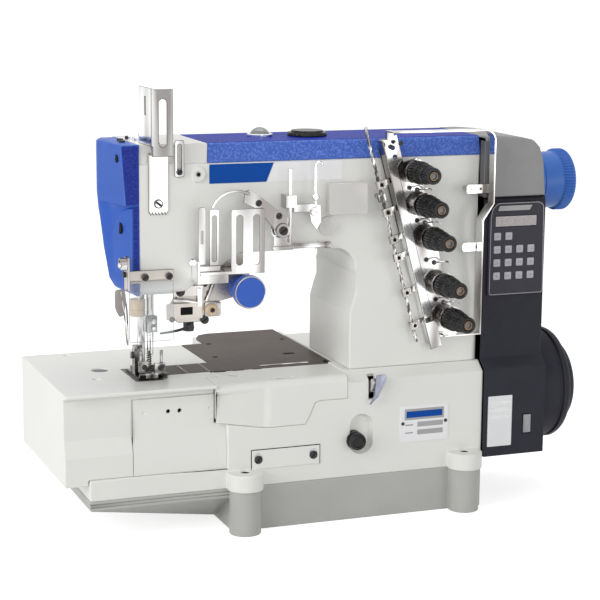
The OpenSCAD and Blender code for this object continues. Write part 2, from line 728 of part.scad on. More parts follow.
// grey cap over the upper end of the control box
module cover_cap() {
  color("dimgray")
  difference() {
    xz(body_front + 8, arm_back + 2) cap_outline(0);
    xz(body_front + 8 + box_wall, arm_back + 2 - box_wall) cap_outline(box_wall);
    xcyl(box_right - 20, box_right + 1, shaft_y, upper_z, shaft_r + 0.5);
  }
}

// grey control panel on the front of the box
module control_panel() {
  y0 = body_front + 5;
  z1 = upper_z - 16;
  color("dimgray")
  difference() {
    xz(y0, y0 + 3) polygon([[body_right + 5, z1 - 100], [box_right - 2, z1 - 100], [box_right - 3.5, z1 - 4],
      [box_right - 8, z1], [body_right + 14, z1], [body_right + 8, z1 - 6], [body_right + 5, z1 - 16]]);
    // bare strip and display window
    box(body_right + 14, body_right + 54, y0 - 1, y0 + 0.5, z1 - 9, z1 - 3);
    box(body_right + 12, body_right + 62, y0 - 1, y0 + 0.8, z1 - 26, z1 - 14);
  }
}

// membrane keys of the control panel
module keypad() {
  y0 = body_front + 4.4;
  z1 = upper_z - 16;
  color("lightgray")
  for (row = [0:3], col = [0:(row == 0 ? 1 : 3)])
    translate([body_right + 15 + 13.5 * col, y0, z1 - 36 - 14.3 * row]) translate([-key_s / 2, 0, -key_s / 2])
      cube([key_s, 0.6, key_s]);
}

// motor housing, sealed: a body inside the cover, a large ring and an end ring
module motor_housing() {
  color("black")
  difference() {
    union() {
      xcyl(body_right, box_right + 0.1, shaft_y, lower_z, motor_r - 9 - seat, 96);
      xcyl(box_right, ring_end - 3, shaft_y, lower_z, motor_r, 96);
      xcyl(ring_end - 3.1, ring_end, shaft_y, lower_z, motor_r - 2, 96);
      xcyl(ring_end - 0.1, motor_end - 4, shaft_y, lower_z, motor_r - 12, 96);
      xcyl(motor_end - 4.1, motor_end, shaft_y, lower_z, motor_r - 16, 96);
    }
    xcyl(body_right - 1, motor_end - 12, shaft_y, lower_z, shaft_r + run_gap);
    difference() {
      xcyl(ring_end - 14, ring_end - 9, shaft_y, lower_z, motor_r + 1, 96);
      xcyl(ring_end - 15, ring_end - 8, shaft_y, lower_z, motor_r - 2, 96);
    }
  }
}

// blue handwheel with a ribbed rim
module handwheel() {
  color("royalblue")
  difference() {
    union() {
      xcyl(wheel_neck, wheel_rim + 0.1, shaft_y, upper_z, wheel_r - 3, 96);
      xcyl(wheel_rim, wheel_end - 3, shaft_y, upper_z, wheel_r, 96);
      xcyl(wheel_end - 3.1, wheel_end, shaft_y, upper_z, wheel_r - 3, 96);
    }
    xcyl(wheel_neck - 1, wheel_end - 10, shaft_y, upper_z, shaft_r + run_gap);
    xcyl(wheel_end - 4, wheel_end + 1, shaft_y, upper_z, wheel_r - 12, 96);
    for (i = [0:wheel_ribs - 1])
      translate([0, shaft_y, upper_z]) rotate([i * 360 / wheel_ribs, 0, 0])
        xcyl(wheel_rim + 1, wheel_end + 1, 0, wheel_r + 0.2, 0.9, 16);
  }
}

// upper shaft
module upper_shaft() {
  color("silver") xcyl(crank_x + 1, wheel_end - 12, shaft_y, upper_z, shaft_r);
}

// crank on the upper shaft's end, with its pin and counterweight
module needle_crank() {
  color("gray")
  difference() {
    union() {
      xcyl(crank_x, crank_x + 7, shaft_y, upper_z, shaft_r + 5);
      hull() {
        xcyl(crank_x, crank_x + 7, shaft_y, pin_z, 7, 32);
        xcyl(crank_x, crank_x + 7, shaft_y, upper_z - 4, 16, 32);
      }
      xcyl(crank_x - 6.5, crank_x + 1, shaft_y, pin_z, 4);
      xcyl(crank_x + 6.9, crank_x + 14, shaft_y, upper_z, shaft_r + 3);
    }
    xcyl(crank_x + 1, crank_x + 15, shaft_y, upper_z, shaft_r + run_gap);
  }
}

// connecting rod from the crank pin to the needle bar
module crank_rod() {
  x0 = crank_x - 6.2;
  x1 = crank_x - 0.4;
  color("silver")
  difference() {
    union() {
      xcyl(x0, x1, shaft_y, pin_z, 8.5);
      xcyl(x0, x1, shaft_y, eye_z, 6.5);
      box(x0 + 1, x1 - 1, shaft_y - 4, shaft_y + 4, eye_z, pin_z);
    }
    xcyl(x0 - 1, x1 + 1, shaft_y, pin_z, 4 + run_gap);
    xcyl(x0 - 1, x1 + 1, shaft_y, eye_z, 3);
  }
}

// toothed pulley with a hub, its middle at x
module pulley(z) {
  difference() {
    union() {
      xcyl(belt_x - belt_w / 2 - seat, belt_x + belt_w / 2 + seat, shaft_y, z, pulley_r, 96);
      xcyl(belt_x - belt_w / 2 - 3, belt_x - belt_w / 2 - seat + 0.01, shaft_y, z, pulley_r + belt_t + 2, 96);
      xcyl(belt_x - belt_w / 2 - 10, belt_x - belt_w / 2, shaft_y, z, shaft_r + 5);
    }
    xcyl(belt_x - belt_w / 2 - 11, belt_x + belt_w / 2 + 1, shaft_y, z, shaft_r + run_gap);
  }
}
module upper_pulley() { color("gray") pulley(upper_z); }
module lower_pulley() { color("gray") pulley(lower_z); }

// loop around both pulleys, its radius r
module belt_loop(r) {
  for (z = [lower_z, upper_z]) translate([shaft_y, z]) circle(r, $fn = 96);
  translate([shaft_y - r, lower_z]) square([2 * r, upper_z - lower_z]);
}

// timing belt between the shafts
module timing_belt() {
  color("black")
  yz(belt_x - belt_w / 2, belt_x + belt_w / 2) difference() {
    belt_loop(pulley_r + seat + belt_t);
    belt_loop(pulley_r + seat);
  }
}

// ball bearings of both shafts
module shaft_bearings() {
  color("silver")
  for (p = [[web_x + web_t - bearing_w, upper_z], [body_right - 2 - bearing_w, upper_z],
      [body_right - web_t, lower_z], [col_left - 14, lower_z], [stand_x, lower_z]])
    difference() {
      xcyl(p[0], p[0] + bearing_w, shaft_y, p[1], bearing_r);
      xcyl(p[0] - 1, p[0] + bearing_w + 1, shaft_y, p[1], shaft_r + run_gap);
    }
}

// lower shaft, from the looper stand into the motor
module lower_shaft() {
  color("silver") xcyl(stand_x - 3, motor_end - 14, shaft_y, lower_z, shaft_r);
}

// looper on its rocker shaft
module looper() {
  color("silver")
  union() {
    ycyl(looper_x, shaft_y - 24, shaft_y + 24, looper_z, 5);
    box(looper_x - 4, looper_x + 4, shaft_y - 6, shaft_y + 7, looper_z, looper_z + 12);
    box(looper_x - 3, looper_x + 3, shaft_y + 1.5, shaft_y + 6, looper_z + 11, blade_z + 1);
    xz(shaft_y + 1.5, shaft_y + 3.5) polygon([[looper_x + 4, blade_z + 1], [looper_x - 8, blade_z + 1],
      [looper_x - 13, blade_z - 0.4], [looper_x - 8, blade_z - 2], [looper_x - 3, blade_z - 6],
      [looper_x + 4, blade_z - 8]]);
  }
}

// feed dogs on their feed bar
module feed_dogs() {
  z1 = bed_top - seat;
  y_main = shaft_y + 6;
  y_diff = shaft_y - 18;
  color("gray")
  union() {
    for (s = [-1, 1]) {
      for (r = [[y_main, y_main + 24], [y_diff, y_diff + 12]])
        xz_teeth(needle_x + s * 3 - 0.9, needle_x + s * 3 + 0.9, r[0], r[1], z1);
    }
    box(needle_x - 6, stand_x + 10, y_main + 4, y_main + 16, bed_top - 16, bed_top - 10);
    box(needle_x - 6, stand_x + 10, y_diff + 1, y_diff + 10, bed_top - 16, bed_top - 10);
    box(stand_x, stand_x + 10, y_diff + 1, y_main + 16, bed_top - 17.7, bed_top - 10);
  }
}
// one toothed strip of a feed dog
module xz_teeth(x0, x1, y0, y1, z1) {
  n = floor((y1 - y0) / 1.5);
  box(x0, x1, y0, y1, bed_top - 11, z1 - 0.8);
  yz(x0, x1) for (i = [0:n - 1])
    polygon([[y0 + 1.5 * i, z1 - 0.9], [y0 + 1.5 * i + 1.2, z1 - 0.9], [y0 + 1.5 * i + 1.1, z1]]);
}

// needle bar with the block that the rod drives
module needle_bar() {
  color("silver")
  union() {
    zcyl(needle_x, shaft_y, clamp_bot + 8, arm_top + 34, bar_r);
    box(presser_x + bar_r + 0.5, crank_x - 6.6, shaft_y - 5, shaft_y + 5, eye_z - 6, eye_z + 6);
    ycyl(needle_x, shaft_y - 8, shaft_y - 4.9, eye_z, 2.5, 32);
  }
}

// needle clamp with its set screws
module needle_clamp() {
  w = bar_pitch - bar_r - 0.5;
  color("gray")
  difference() {
    union() {
      box(needle_x - w, needle_x + w, shaft_y - 8, shaft_y + 7, clamp_bot, clamp_top);
      ycyl(needle_x + 1, shaft_y - 12, shaft_y - 7.9, clamp_bot + 12, 3, 32);
      ycyl(needle_x + 1, shaft_y - 10.5, shaft_y - 7.9, clamp_bot + 4.5, 2, 32);
    }
    zcyl(needle_x, shaft_y, clamp_bot + 8, clamp_top + 1, bar_r + run_gap);
    for (s = [-1, 0, 1])
      zcyl(needle_x + s * needle_pitch, shaft_y, clamp_bot - 1, clamp_bot + 8.1, 0.9 + run_gap, 24);
  }
}

// three needles
module needles() {
  color("silver")
  for (s = [-1, 0, 1]) translate([needle_x + s * needle_pitch, shaft_y, 0]) {
    zcyl(0, 0, clamp_bot - 5, clamp_bot + 7.8, 0.9, 24);
    zcyl(0, 0, tip_z + 4, clamp_bot - 4.9, 0.6, 24);
    translate([0, 0, tip_z]) cylinder(r1 = 0.12, r2 = 0.6, h = 4.01, $fn = 24);
  }
}

// presser bar with a flat for the foot
module presser_bar() {
  color("silver")
  difference() {
    zcyl(presser_x, shaft_y, bed_top + 8, arm_top - 17 - foot_lift, bar_r);
    box(presser_x - bar_r - 1, presser_x, shaft_y - 5, shaft_y + 5, bed_top + 7, bed_top + 34);
  }
}

// presser foot: ankle, sole with raised toe and needle opening
module presser_foot() {
  x0 = presser_x - 8;
  x1 = needle_x + 13;
  z0 = bed_top + 0.1;
  color("silver")
  difference() {
    union() {
      box(x0, x1, shaft_y - 17, shaft_y + 28, z0, z0 + 2.4);
      yz(x0, x1) polygon([[shaft_y - 16.9, z0], [shaft_y - 16.9, z0 + 2.4], [shaft_y - 24, z0 + 8],
        [shaft_y - 25, z0 + 6.5], [shaft_y - 19, z0 + 0.8]]);
      box(x0, presser_x, shaft_y - 5, shaft_y + 5, z0 + 2, bed_top + 33);
      box(x0, x1, shaft_y + 8, shaft_y + 14, z0 + 2, z0 + 9);
      box(x1 - 3, x1, shaft_y - 8, shaft_y + 14, z0 + 2, z0 + 9);
      xcyl(x0 - 3, x0 + 1, shaft_y, bed_top + 23, 3.6, 32);
    }
    hull() for (s = [-1, 1])
      zcyl(needle_x + s * needle_pitch, shaft_y, z0 - 1, z0 + 3, 2, 32);
    for (x = [needle_x - 6, needle_x, needle_x + 6])
      box(x - 0.6, x + 0.6, shaft_y - 27, shaft_y - 6, z0 - 1, z0 + 12);
  }
}

// screw that sets the presser spring, with its locknut and base
module pressure_screw() {
  color("silver")
  union() {
    zcyl(presser_x, shaft_y, arm_top, arm_top + 3, bar_pitch - bar_r - 0.5, 48);
    zcyl(presser_x, shaft_y, arm_top + 2.9, arm_top + 9, bar_pitch - bar_r - 0.7, 6);
    zcyl(presser_x, shaft_y, arm_top + 8.9, arm_top + 35, 3.5, 40);
    zcyl(presser_x, shaft_y, arm_top - 15, arm_top + 0.1, bar_r, 40);
  }
}

// bracket under the head that carries the spreader and the dial
module spreader_bracket() {
  y0 = arm_front + 5;
  x0 = needle_x + 12;
  color("darkgray")
  difference() {
    union() {
      xz(y0, y0 + 9) polygon([[x0, head_bottom - 14], [x0 + 8, head_bottom], [arm_left + 43, head_bottom],
        [arm_left + 76, arm_under - 19], [arm_left + 106, arm_under], [arm_left + 118, arm_under],
        [arm_left + 118, dial_z - 7], [x0 + 46, head_bottom - 12], [x0 + 38, head_bottom - 31],
        [x0 + 8, head_bottom - 31], [x0, head_bottom - 26]]);
      zcyl(x0 + 22, y0 + 12, head_bottom - 32, head_bottom - 14, 7);
    }
    zcyl(x0 + 22, y0 + 12, head_bottom - 33, head_bottom - 13, 3 + run_gap);
    ycyl(arm_left + 107, y0 - 1, y0 + 10, dial_z, 4 + run_gap);
  }
}

// spreader: a curved hook on a short upright shaft
module spreader() {
  x = needle_x + 34;
  y = arm_front + 17;
  z = head_bottom - 36;
  color("silver")
  union() {
    zcyl(x, y, z - 6, head_bottom - 12, 3);
    zcyl(x, y, z - 6, z + 4 - seat, 5.5);
    ycyl(x, y - 9, y - 5, z - 1, 3.5, 32);
    box(x - 4, x + 4, y - 5.5, y, z - 5, z + 3);
    for (i = [0:4])
      hull() for (j = [i, i + 1])
        translate([x - 5 - 4.4 * j, y - 1 + 0.4 * j * j, z - 3.5 - 1.1 * j])
          sphere(r = 1.6 - 0.12 * j, $fn = 16);
  }
}

// bracket of the finger guard, bent round the head's corner
module finger_guard() {
  y0 = arm_front - 4;
  color("silver")
  difference() {
    union() {
      box(arm_left - 15, arm_left + 34, y0, arm_front - seat, head_bottom + 14, head_bottom + 26.5);
      box(arm_left - 16.5, arm_left - 14, y0 - 9, arm_front - seat, head_bottom + 8, head_bottom + 42);
      for (x = [arm_left + 4, arm_left + 29]) ycyl(x, y0 - 2.5, y0 + 0.1, head_bottom + 20, 3.4, 32);
      xcyl(arm_left - 23, arm_left - 16.4, y0 - 4, head_bottom + 36, 5.5, 40);
      ycyl(arm_left + 4, arm_front - seat - 0.1, arm_front + 4, head_bottom + 20, 1.7, 24);
    }
    xcyl(arm_left - 24, arm_left - 20, y0 - 4, head_bottom + 36, 3.4, 40);
  }
}

// clear shield in front of the needles
module guard_shield() {
  y0 = arm_front - 4;
  color([0.8, 0.9, 0.95, 0.4])
  xz(y0 - 1.6, y0) rrect(arm_left - 13, arm_left + 33, bed_top + 46, head_bottom + 16.2, 5);
}

// needle thread take-up: a curved lever on its stud
module take_up_lever() {
  px = lever_x;
  pz = arm_under + 24;
  y0 = arm_front - 19.6;
  color("silver")
  difference() {
    union() {
      ycyl(px, y0 - 2.4, arm_front - 12, pz, 7.5);
      xz(y0, y0 + 2) polygon([[px - 6, pz - 2], [px + 6, pz + 4], [px + 7, pz + 12], [px - 22, pz + 34],
        [px - 36, pz + 43], [px - 41, pz + 41], [px - 42, pz + 30], [px - 26, pz + 22]]);
      // curved wire cover to the left
      for (i = [0:5])
        hull() for (a = [60 + 17 * i, 77 + 17 * i])
          translate([px - 50 + 26 * cos(a), y0 + 1, pz + 20 + 22 * sin(a)])
            rotate([90, 0, 0]) cylinder(r = 1.3, h = 2.4, center = true, $fn = 16);
      for (p = [[px - 26, pz + 29], [px - 4, pz + 15]]) ycyl(p[0], y0 - 0.6, y0 + 0.1, p[1], 3.2, 32);
    }
    ycyl(px, y0 - 5, y0 + 9, pz, 4 + run_gap);
  }
}

// slotted plate in X and Z with n upright slots
module slotted_plate(x0, x1, z0, z1, n, slot_w, margin) {
  step = (x1 - x0) / n;
  difference() {
    rrect(x0, x1, z0, z1, 2);
    for (i = [0:n - 1]) {
      xm = x0 + step * (i + 0.5);
      rrect(xm - slot_w / 2, xm + slot_w / 2, z0 + margin, z1 - margin, slot_w / 2 - 0.05);
    }
  }
}

// slotted guards beside the take-up lever, on their tray
module take_up_guards() {
  y0 = arm_front - 22;
  xa = lever_x - 56;
  z0 = arm_under - 15;
  color("silver")
  union() {
    xz(y0, y0 + 1.5) slotted_plate(xa, xa + 36, z0, z0 + 63, 2, 7, 6);
    xz(y0 + 5.6, y0 + 7.1) slotted_plate(xa - 21, xa - 11, z0 + 4, z0 + 63, 1, 5, 6);
    xz(y0 + 10, y0 + 11.2) slotted_plate(xa - 31, xa - 24, z0 + 4, z0 + 65, 1, 2, 24);
    // tray that carries them, screwed to the head
    box(xa - 32, xa + 36, y0, arm_front, z0 - 3, z0 + 0.5);
    box(xa - 32, xa - 10, y0 + 4, y0 + 12, z0 + 0.4, z0 + 6);
    box(xa - 35, xa - 31.9, y0 + 2, arm_front, z0 - 10, z0 + 12);
    box(xa - 35, xa - 2, y0 + 2, y0 + 3.5, z0 - 12, z0 - 2.9);
    ycyl(xa - 36, arm_front - 5, arm_front, z0 + 8, 3.2, 32);
  }
}

// thread guides on the head: top slotted bracket, face plate and slotted link
module thread_guides() {
  x0 = arm_left + 8;
  y0 = arm_front - 21;
  z0 = arm_rim + 10;
  zt = arm_top + 56;
  color("silver")
  union() {
    // front channel with its slot
    xz(y0, y0 + 1.6) slotted_plate(x0, x0 + 21, z0, zt, 1, 8, 9.5);
    box(x0, x0 + 1.6, y0, y0 + 5, z0, zt);
    box(x0 + 19.4, x0 + 21, y0, y0 + 3, z0, zt);
    // left plate, turned towards the face
    difference() {
      box(x0 - 1.5, x0 + 0.1, y0, y0 + 44, arm_top, zt + 1);
      box(x0 - 2, x0 + 1, y0 + 18, y0 + 23, arm_top + 30, arm_top + 48);
    }
    box(x0 - 1.5, x0 + 14, y0 + 23, y0 + 44, arm_top, arm_top + 1.8);
    zscrew(x0 + 8, y0 + 30, arm_top + 1.8, 3);
    // plate on the front of the head with its serrated lower edge
    box(x0 + 1, x0 + 22, arm_front - 1.5, arm_front, arm_under + 46, z0 + 1.8);
    xz(arm_front - 1.5, arm_front) for (i = [0:5])
      polygon([[x0 + 1.5 + 3.2 * i, arm_under + 46.1], [x0 + 4.7 + 3.2 * i, arm_under + 46.1],
        [x0 + 3.1 + 3.2 * i, arm_under + 42]]);
    yscrew(x0 + 11, arm_front - 1.5, arm_under + 54, 4);
    // foot of the channel
    box(x0 + 2, x0 + 18, y0 + 1.5, arm_front - 1.4, z0, z0 + 1.8);
    // slotted link
    xz(arm_front - 2.9, arm_front - 1.4) slotted_plate(x0 + 28, x0 + 38, arm_rim - 13, arm_rim + 24, 1, 4, 4);
    ycyl(x0 + 33, arm_front - 1.5, arm_front, arm_rim - 8, 4, 32);
    yscrew(x0 + 33, arm_front - 2.9, arm_rim - 8, 2.6);
  }
}

// fixed thread bracket on the arm: stud, block, bars, upright rod and hook guide
module lever_bracket() {
  px = lever_x;
  pz = arm_under + 24;
  y0 = arm_front - 18;
  color("silver")
  union() {
    ycyl(px, y0 - 4, arm_front, pz, 4);
    difference() {
      ycyl(px, y0 + 6.3, arm_front, pz, 10);
      ycyl(px, y0 + 5, arm_front - 6, pz, 8.5);
    }
    // clamp under the stud and the chrome pin
    box(px - 5, px + 14, y0 + 10, arm_front, pz - 22, pz - 8);
    xcyl(px - 6, px + 52, y0 + 12, pz - 19, 2.6, 32);
    xcyl(px + 51.9, px + 58, y0 + 12, pz - 19, 3.4, 32);
    // upright rod with its block
    zcyl(px + 12, y0 + 9, pz - 14, pz + 62, 2, 32);
    box(px + 5, px + 17, y0 + 3, arm_front, pz + 22, pz + 35);
    // bars to the hook guide's plate
    box(px + 16.9, px + 34, y0 + 6, y0 + 9, pz + 17, pz + 25);
    box(px + 15, px + 18, y0 + 6, y0 + 9, pz + 17, pz + 34);
    xz(y0 + 6, y0 + 8) polygon([[px + 30, pz + 25], [px + 44, pz + 24], [px + 45, pz + 6], [px + 40, pz - 2],
      [px + 34, pz + 6]]);
    box(px + 36, px + 42, y0 + 7, arm_front, pz + 4, pz + 10);
    yscrew(px + 37, y0 + 6, pz + 17, 4.2);
    // hook guide
    zcyl(px + 39, y0 + 7, pz + 22, pz + 64, 1.4, 24);
    translate([px + 39, y0 + 7, pz + 32]) sphere(r = 4, $fn = 32);
    translate([px + 42.6, y0 + 7, pz + 64]) rotate([90, 0, 0]) rotate_extrude(angle = 180, $fn = 48)
      translate([3.6, 0]) circle(1.2, $fn = 16);
  }
}

// blue adjusting dial with its knurled body and stem
module adjust_dial() {
  x = arm_left + 107;
  z = dial_z;
  y1 = arm_front + 5;
  color("royalblue")
  difference() {
    union() {
      ycyl(x, y1 - 34, y1 - 27, z, dial_r, 96);
      ycyl(x, y1 - 35.5, y1 - 33.9, z, dial_r - 1.5, 96);
      ycyl(x, y1 - 27.1, y1 - seat, z, dial_r - 4, 72);
      ycyl(x, y1 - 1, y1 + 9, z, 4);
    }
    for (i = [0:23]) rotate_at(x, z, i * 15) ycyl(dial_r - 3.8, y1 - 26, y1 + 1, 0, 0.8, 16);
  }
}
// turn what follows about the Y axis at x, z
module rotate_at(x, z, a) {
  translate([x, 0, z]) rotate([0, a, 0]) children();
}

// a spot on the row of tension knobs, s along the row and d to its right
module at_row(s, d = 0) {
  translate([knob_x, 0, knob_z]) rotate([0, -knob_lean, 0]) translate([d, 0, -s]) children();
}

// leaning channel behind the tension posts
module tension_plate() {
  s1 = knob_at[4] + 20;
  color("silver")
  difference() {
    union() {
      at_row(0) box(-29.5, 8, col_front - 2, col_front, -s1, 12);
      at_row(0) box(-29.5, -28, disc_y + 2, col_front - 0.1, -s1, 42);
      at_row(0) box(-29.5, -16, disc_y + 2, disc_y + 4, -s1 - 6, -s1 + 24);
      // dark inner rail
      at_row(0) box(-27, -16, col_front - 3.4, col_front - 1.9, -s1 + 26, 9);
      // top bracket over the edge of the arm
      at_row(0) box(-29, -8, col_front - 2, col_front, 11.9, 42);
      at_row(18, -8) ycyl(0, col_front - 0.1, arm_front, 0, 5, 32);
    }
    for (s = knob_at) at_row(s) ycyl(0, col_front - 3, col_front + 1, 0, post_r + run_gap, 32);
    for (s = [-30, -20]) at_row(s, -16) ycyl(0, col_front - 3, col_front + 1, 0, 2.2, 24);
  }
}

// five tension posts
module tension_posts() {
  color("silver")
  for (s = knob_at) at_row(s) {
    ycyl(0, knob_end + 2, col_front - 0.2, 0, post_r, 32);
    ycyl(0, col_front - 5, col_front - 2, 0, post_r + 3, 32);
  }
}

// a ring around each post from y0 to y1
module post_rings(y0, y1, r) {
  for (s = knob_at) at_row(s) difference() {
    ycyl(0, y0, y1, 0, r);
    ycyl(0, y0 - 1, y1 + 1, 0, post_r + run_gap, 32);
  }
}

// pairs of tension discs
module tension_discs() {
  color("silver") {
    post_rings(disc_y - 1, disc_y - 0.3, knob_r);
    post_rings(disc_y + 0.1, disc_y + 0.9, knob_r);
    post_rings(disc_y + 0.9, col_front - 5, post_r + 2.5);
  }
}

// tension springs, each a cone of stacked coils
module tension_springs() {
  color("dimgray")
  for (s = knob_at) at_row(s) translate([0, disc_y - 1, 0]) rotate([90, 0, 0])
    rotate_extrude($fn = 48) for (i = [0:4])
      polygon([[post_r + 5.4 - 0.9 * i, 2.14 * i], [post_r + 7.6 - 0.9 * i, 2.14 * i + 1.07],
        [post_r + 4.5 - 0.9 * i, 2.14 * i + 2.14], [post_r + 0.2, 2.14 * i + 2.14],
        [post_r + 0.2, 2.14 * i]]);
}

// one knurled tension knob on its post
module tension_knob(i) {
  y0 = knob_end;
  y1 = y0 + knob_len;
  color("black")
  at_row(knob_at[i]) difference() {
    union() {
      ycyl(0, disc_y - 14, y1, 0, knob_r - 0.8, 64);
      ycyl(0, y0 + 16, disc_y - 13.9, 0, knob_r - 2.5, 64);
      ycyl(0, y0, y0 + 16.1, 0, knob_r - 4.2, 64);
    }
    ycyl(0, y0 - 1, y1 + 1, 0, post_r + run_gap, 32);
    ycyl(0, y0 - 1, y0 + 3, 0, post_r + 2, 40);
    // room of the spring
    ycyl(0, disc_y - 12, y1 + 1, 0, post_r + 7.9, 48);
    for (j = [0:15]) rotate([0, j * 22.5, 0]) ycyl(knob_r - 4.2, y0 + 2, y0 + 15, 0, 0.8, 16);
  }
}
module tension_knob_1() { tension_knob(0); }
module tension_knob_2() { tension_knob(1); }
module tension_knob_3() { tension_knob(2); }
module tension_knob_4() { tension_knob(3); }
module tension_knob_5() { tension_knob(4); }

// leaning guide rods with their square eyelets
module guide_rods() {
  y = disc_y + 4;
  color("silver")
  union() {
    at_row(0) zcyl(-42, y + 2.4, -knob_at[4] - 14, 61, 1.3, 24);
    for (s = [1, 31, 61, 81, 120, 157]) at_row(s, -42) {
      difference() {
        box(-4.5, 4.5, y - 4, y + 1.2, -4, 4);
        ycyl(0, y - 5, y + 2, 0, 1.8, 24);
      }
      box(-2.5, 12.2, y + 1.1, y + 4, -3, 3);
    }
    at_row(16, -42) box(-4, 4, y + 1.5, y + 6, -4, 4);
    at_row(16, -42) ycyl(0, y + 5.9, arm_front, 0, 3, 32);
  }
}

// flat strip around the tension unit, with its two lugs on the arm
module strip_guard() {
  y0 = arm_front - 29;
  y1 = y0 + 15;
  t = 1.6;
  zt = arm_top + 9;
  xr = body_right + 4;
  xl = xr - 12;
  z_jog = arm_under + 44;
  z_low = bed_top + 36;
  color("silver")
  union() {
    box(col_left + 42, xr - 12, y0, y1, zt - t, zt);
    intersection() {
      difference() {
        ycyl(xr - 12, y0, y1, zt - 12, 12, 72);
        ycyl(xr - 12, y0 - 1, y1 + 1, zt - 12, 12 - t, 72);
      }
      box(xr - 12.1, xr + 1, y0, y1, zt - 12.1, zt + 1);
    }
    box(xr - t, xr, y0, y1, z_jog, zt - 12);
    xz(y0, y1) polygon([[xr - t, z_jog + 0.1], [xr, z_jog + 0.1], [xl, z_jog - 18], [xl - t, z_jog - 18]]);
    box(xl - t, xl, y0, y1, z_low, z_jog - 17.9);
    box(col_left + 101, xl, y0, y1, z_low - t, z_low);
    // lugs, each held by a stud on the arm
    for (p = [[xr - 27, xr, arm_under + 53, arm_front], [xl - 18, xl, arm_under - 9, arm_front - 2.6]]) {
      difference() {
        xz(y1 - t, y1) rrect(p[0], p[1], p[2], p[2] + 10, 3);
        for (d = [5, 17]) ycyl(p[0] + d, y1 - 3, y1 + 1, p[2] + 5, 1.2, 24);
      }
      ycyl(p[0] + 5, y1 - 0.1, p[3], p[2] + 5, 3, 32);
    }
    // link to the top bracket of the tension channel
    box(col_left + 36, col_left + 43, y1 - 1, col_front - 2, zt - 10, zt);
    box(col_left + 36, col_left + 43, y0, y1, zt - t, zt);
  }
}

// push button that locks the handwheel for stitch setting
module push_button() {
  color("black")
  difference() {
    union() {
      ycyl(col_left + 2.4, body_front - 3, body_front + body_wall + 6, bed_top - 71.6, 9.5);
      ycyl(col_left + 2.4, body_front - 4, body_front - 2.9, bed_top - 71.6, 8.2);
    }
    ycyl(col_left + 2.4, body_front - 5, body_front - 3.4, bed_top - 71.6, 5, 40);
  }
}

// differential feed lever in its slot
module feed_lever() {
  x = col_left + 21.5;
  y = body_front + body_wall + 8;
  z = bed_top - 22;
  color("silver")
  union() {
    xcyl(x - 6, x + 6, y, z, 7, 40);
    xcyl(x - 14, x + 14, y, z, 3, 32);
    yz(x - 3, x + 3) polygon([[y - 3, z + 4], [body_front - 3, z + 16], [body_front - 5, z + 12],
      [body_front - 2, z + 2], [y - 3, z - 4]]);
  }
}

base_pan();
bed_frame();
bed_table();
front_cover();
looper_cover();
adjust_cover();
needle_plate();
slide_plates();
cloth_plate();
nameplate();
arm_labels();
arm_frame();
top_cover();
face_cover();
filler_cap();
oil_sight();
motor_cover();
cover_cap();
control_panel();
keypad();
motor_housing();
handwheel();
upper_shaft();
needle_crank();
crank_rod();
upper_pulley();
lower_shaft();
lower_pulley();
timing_belt();
shaft_bearings();
looper();
feed_dogs();
needle_bar();
needle_clamp();
needles();
presser_bar();
presser_foot();
pressure_screw();
spreader();
spreader_bracket();
finger_guard();
guard_shield();
take_up_lever();
take_up_guards();
thread_guides();
lever_bracket();
adjust_dial();
tension_plate();
tension_posts();
tension_discs();
tension_springs();
tension_knob_1();
tension_knob_2();
tension_knob_3();
tension_knob_4();
tension_knob_5();
guide_rods();
strip_guard();
push_button();
feed_lever();
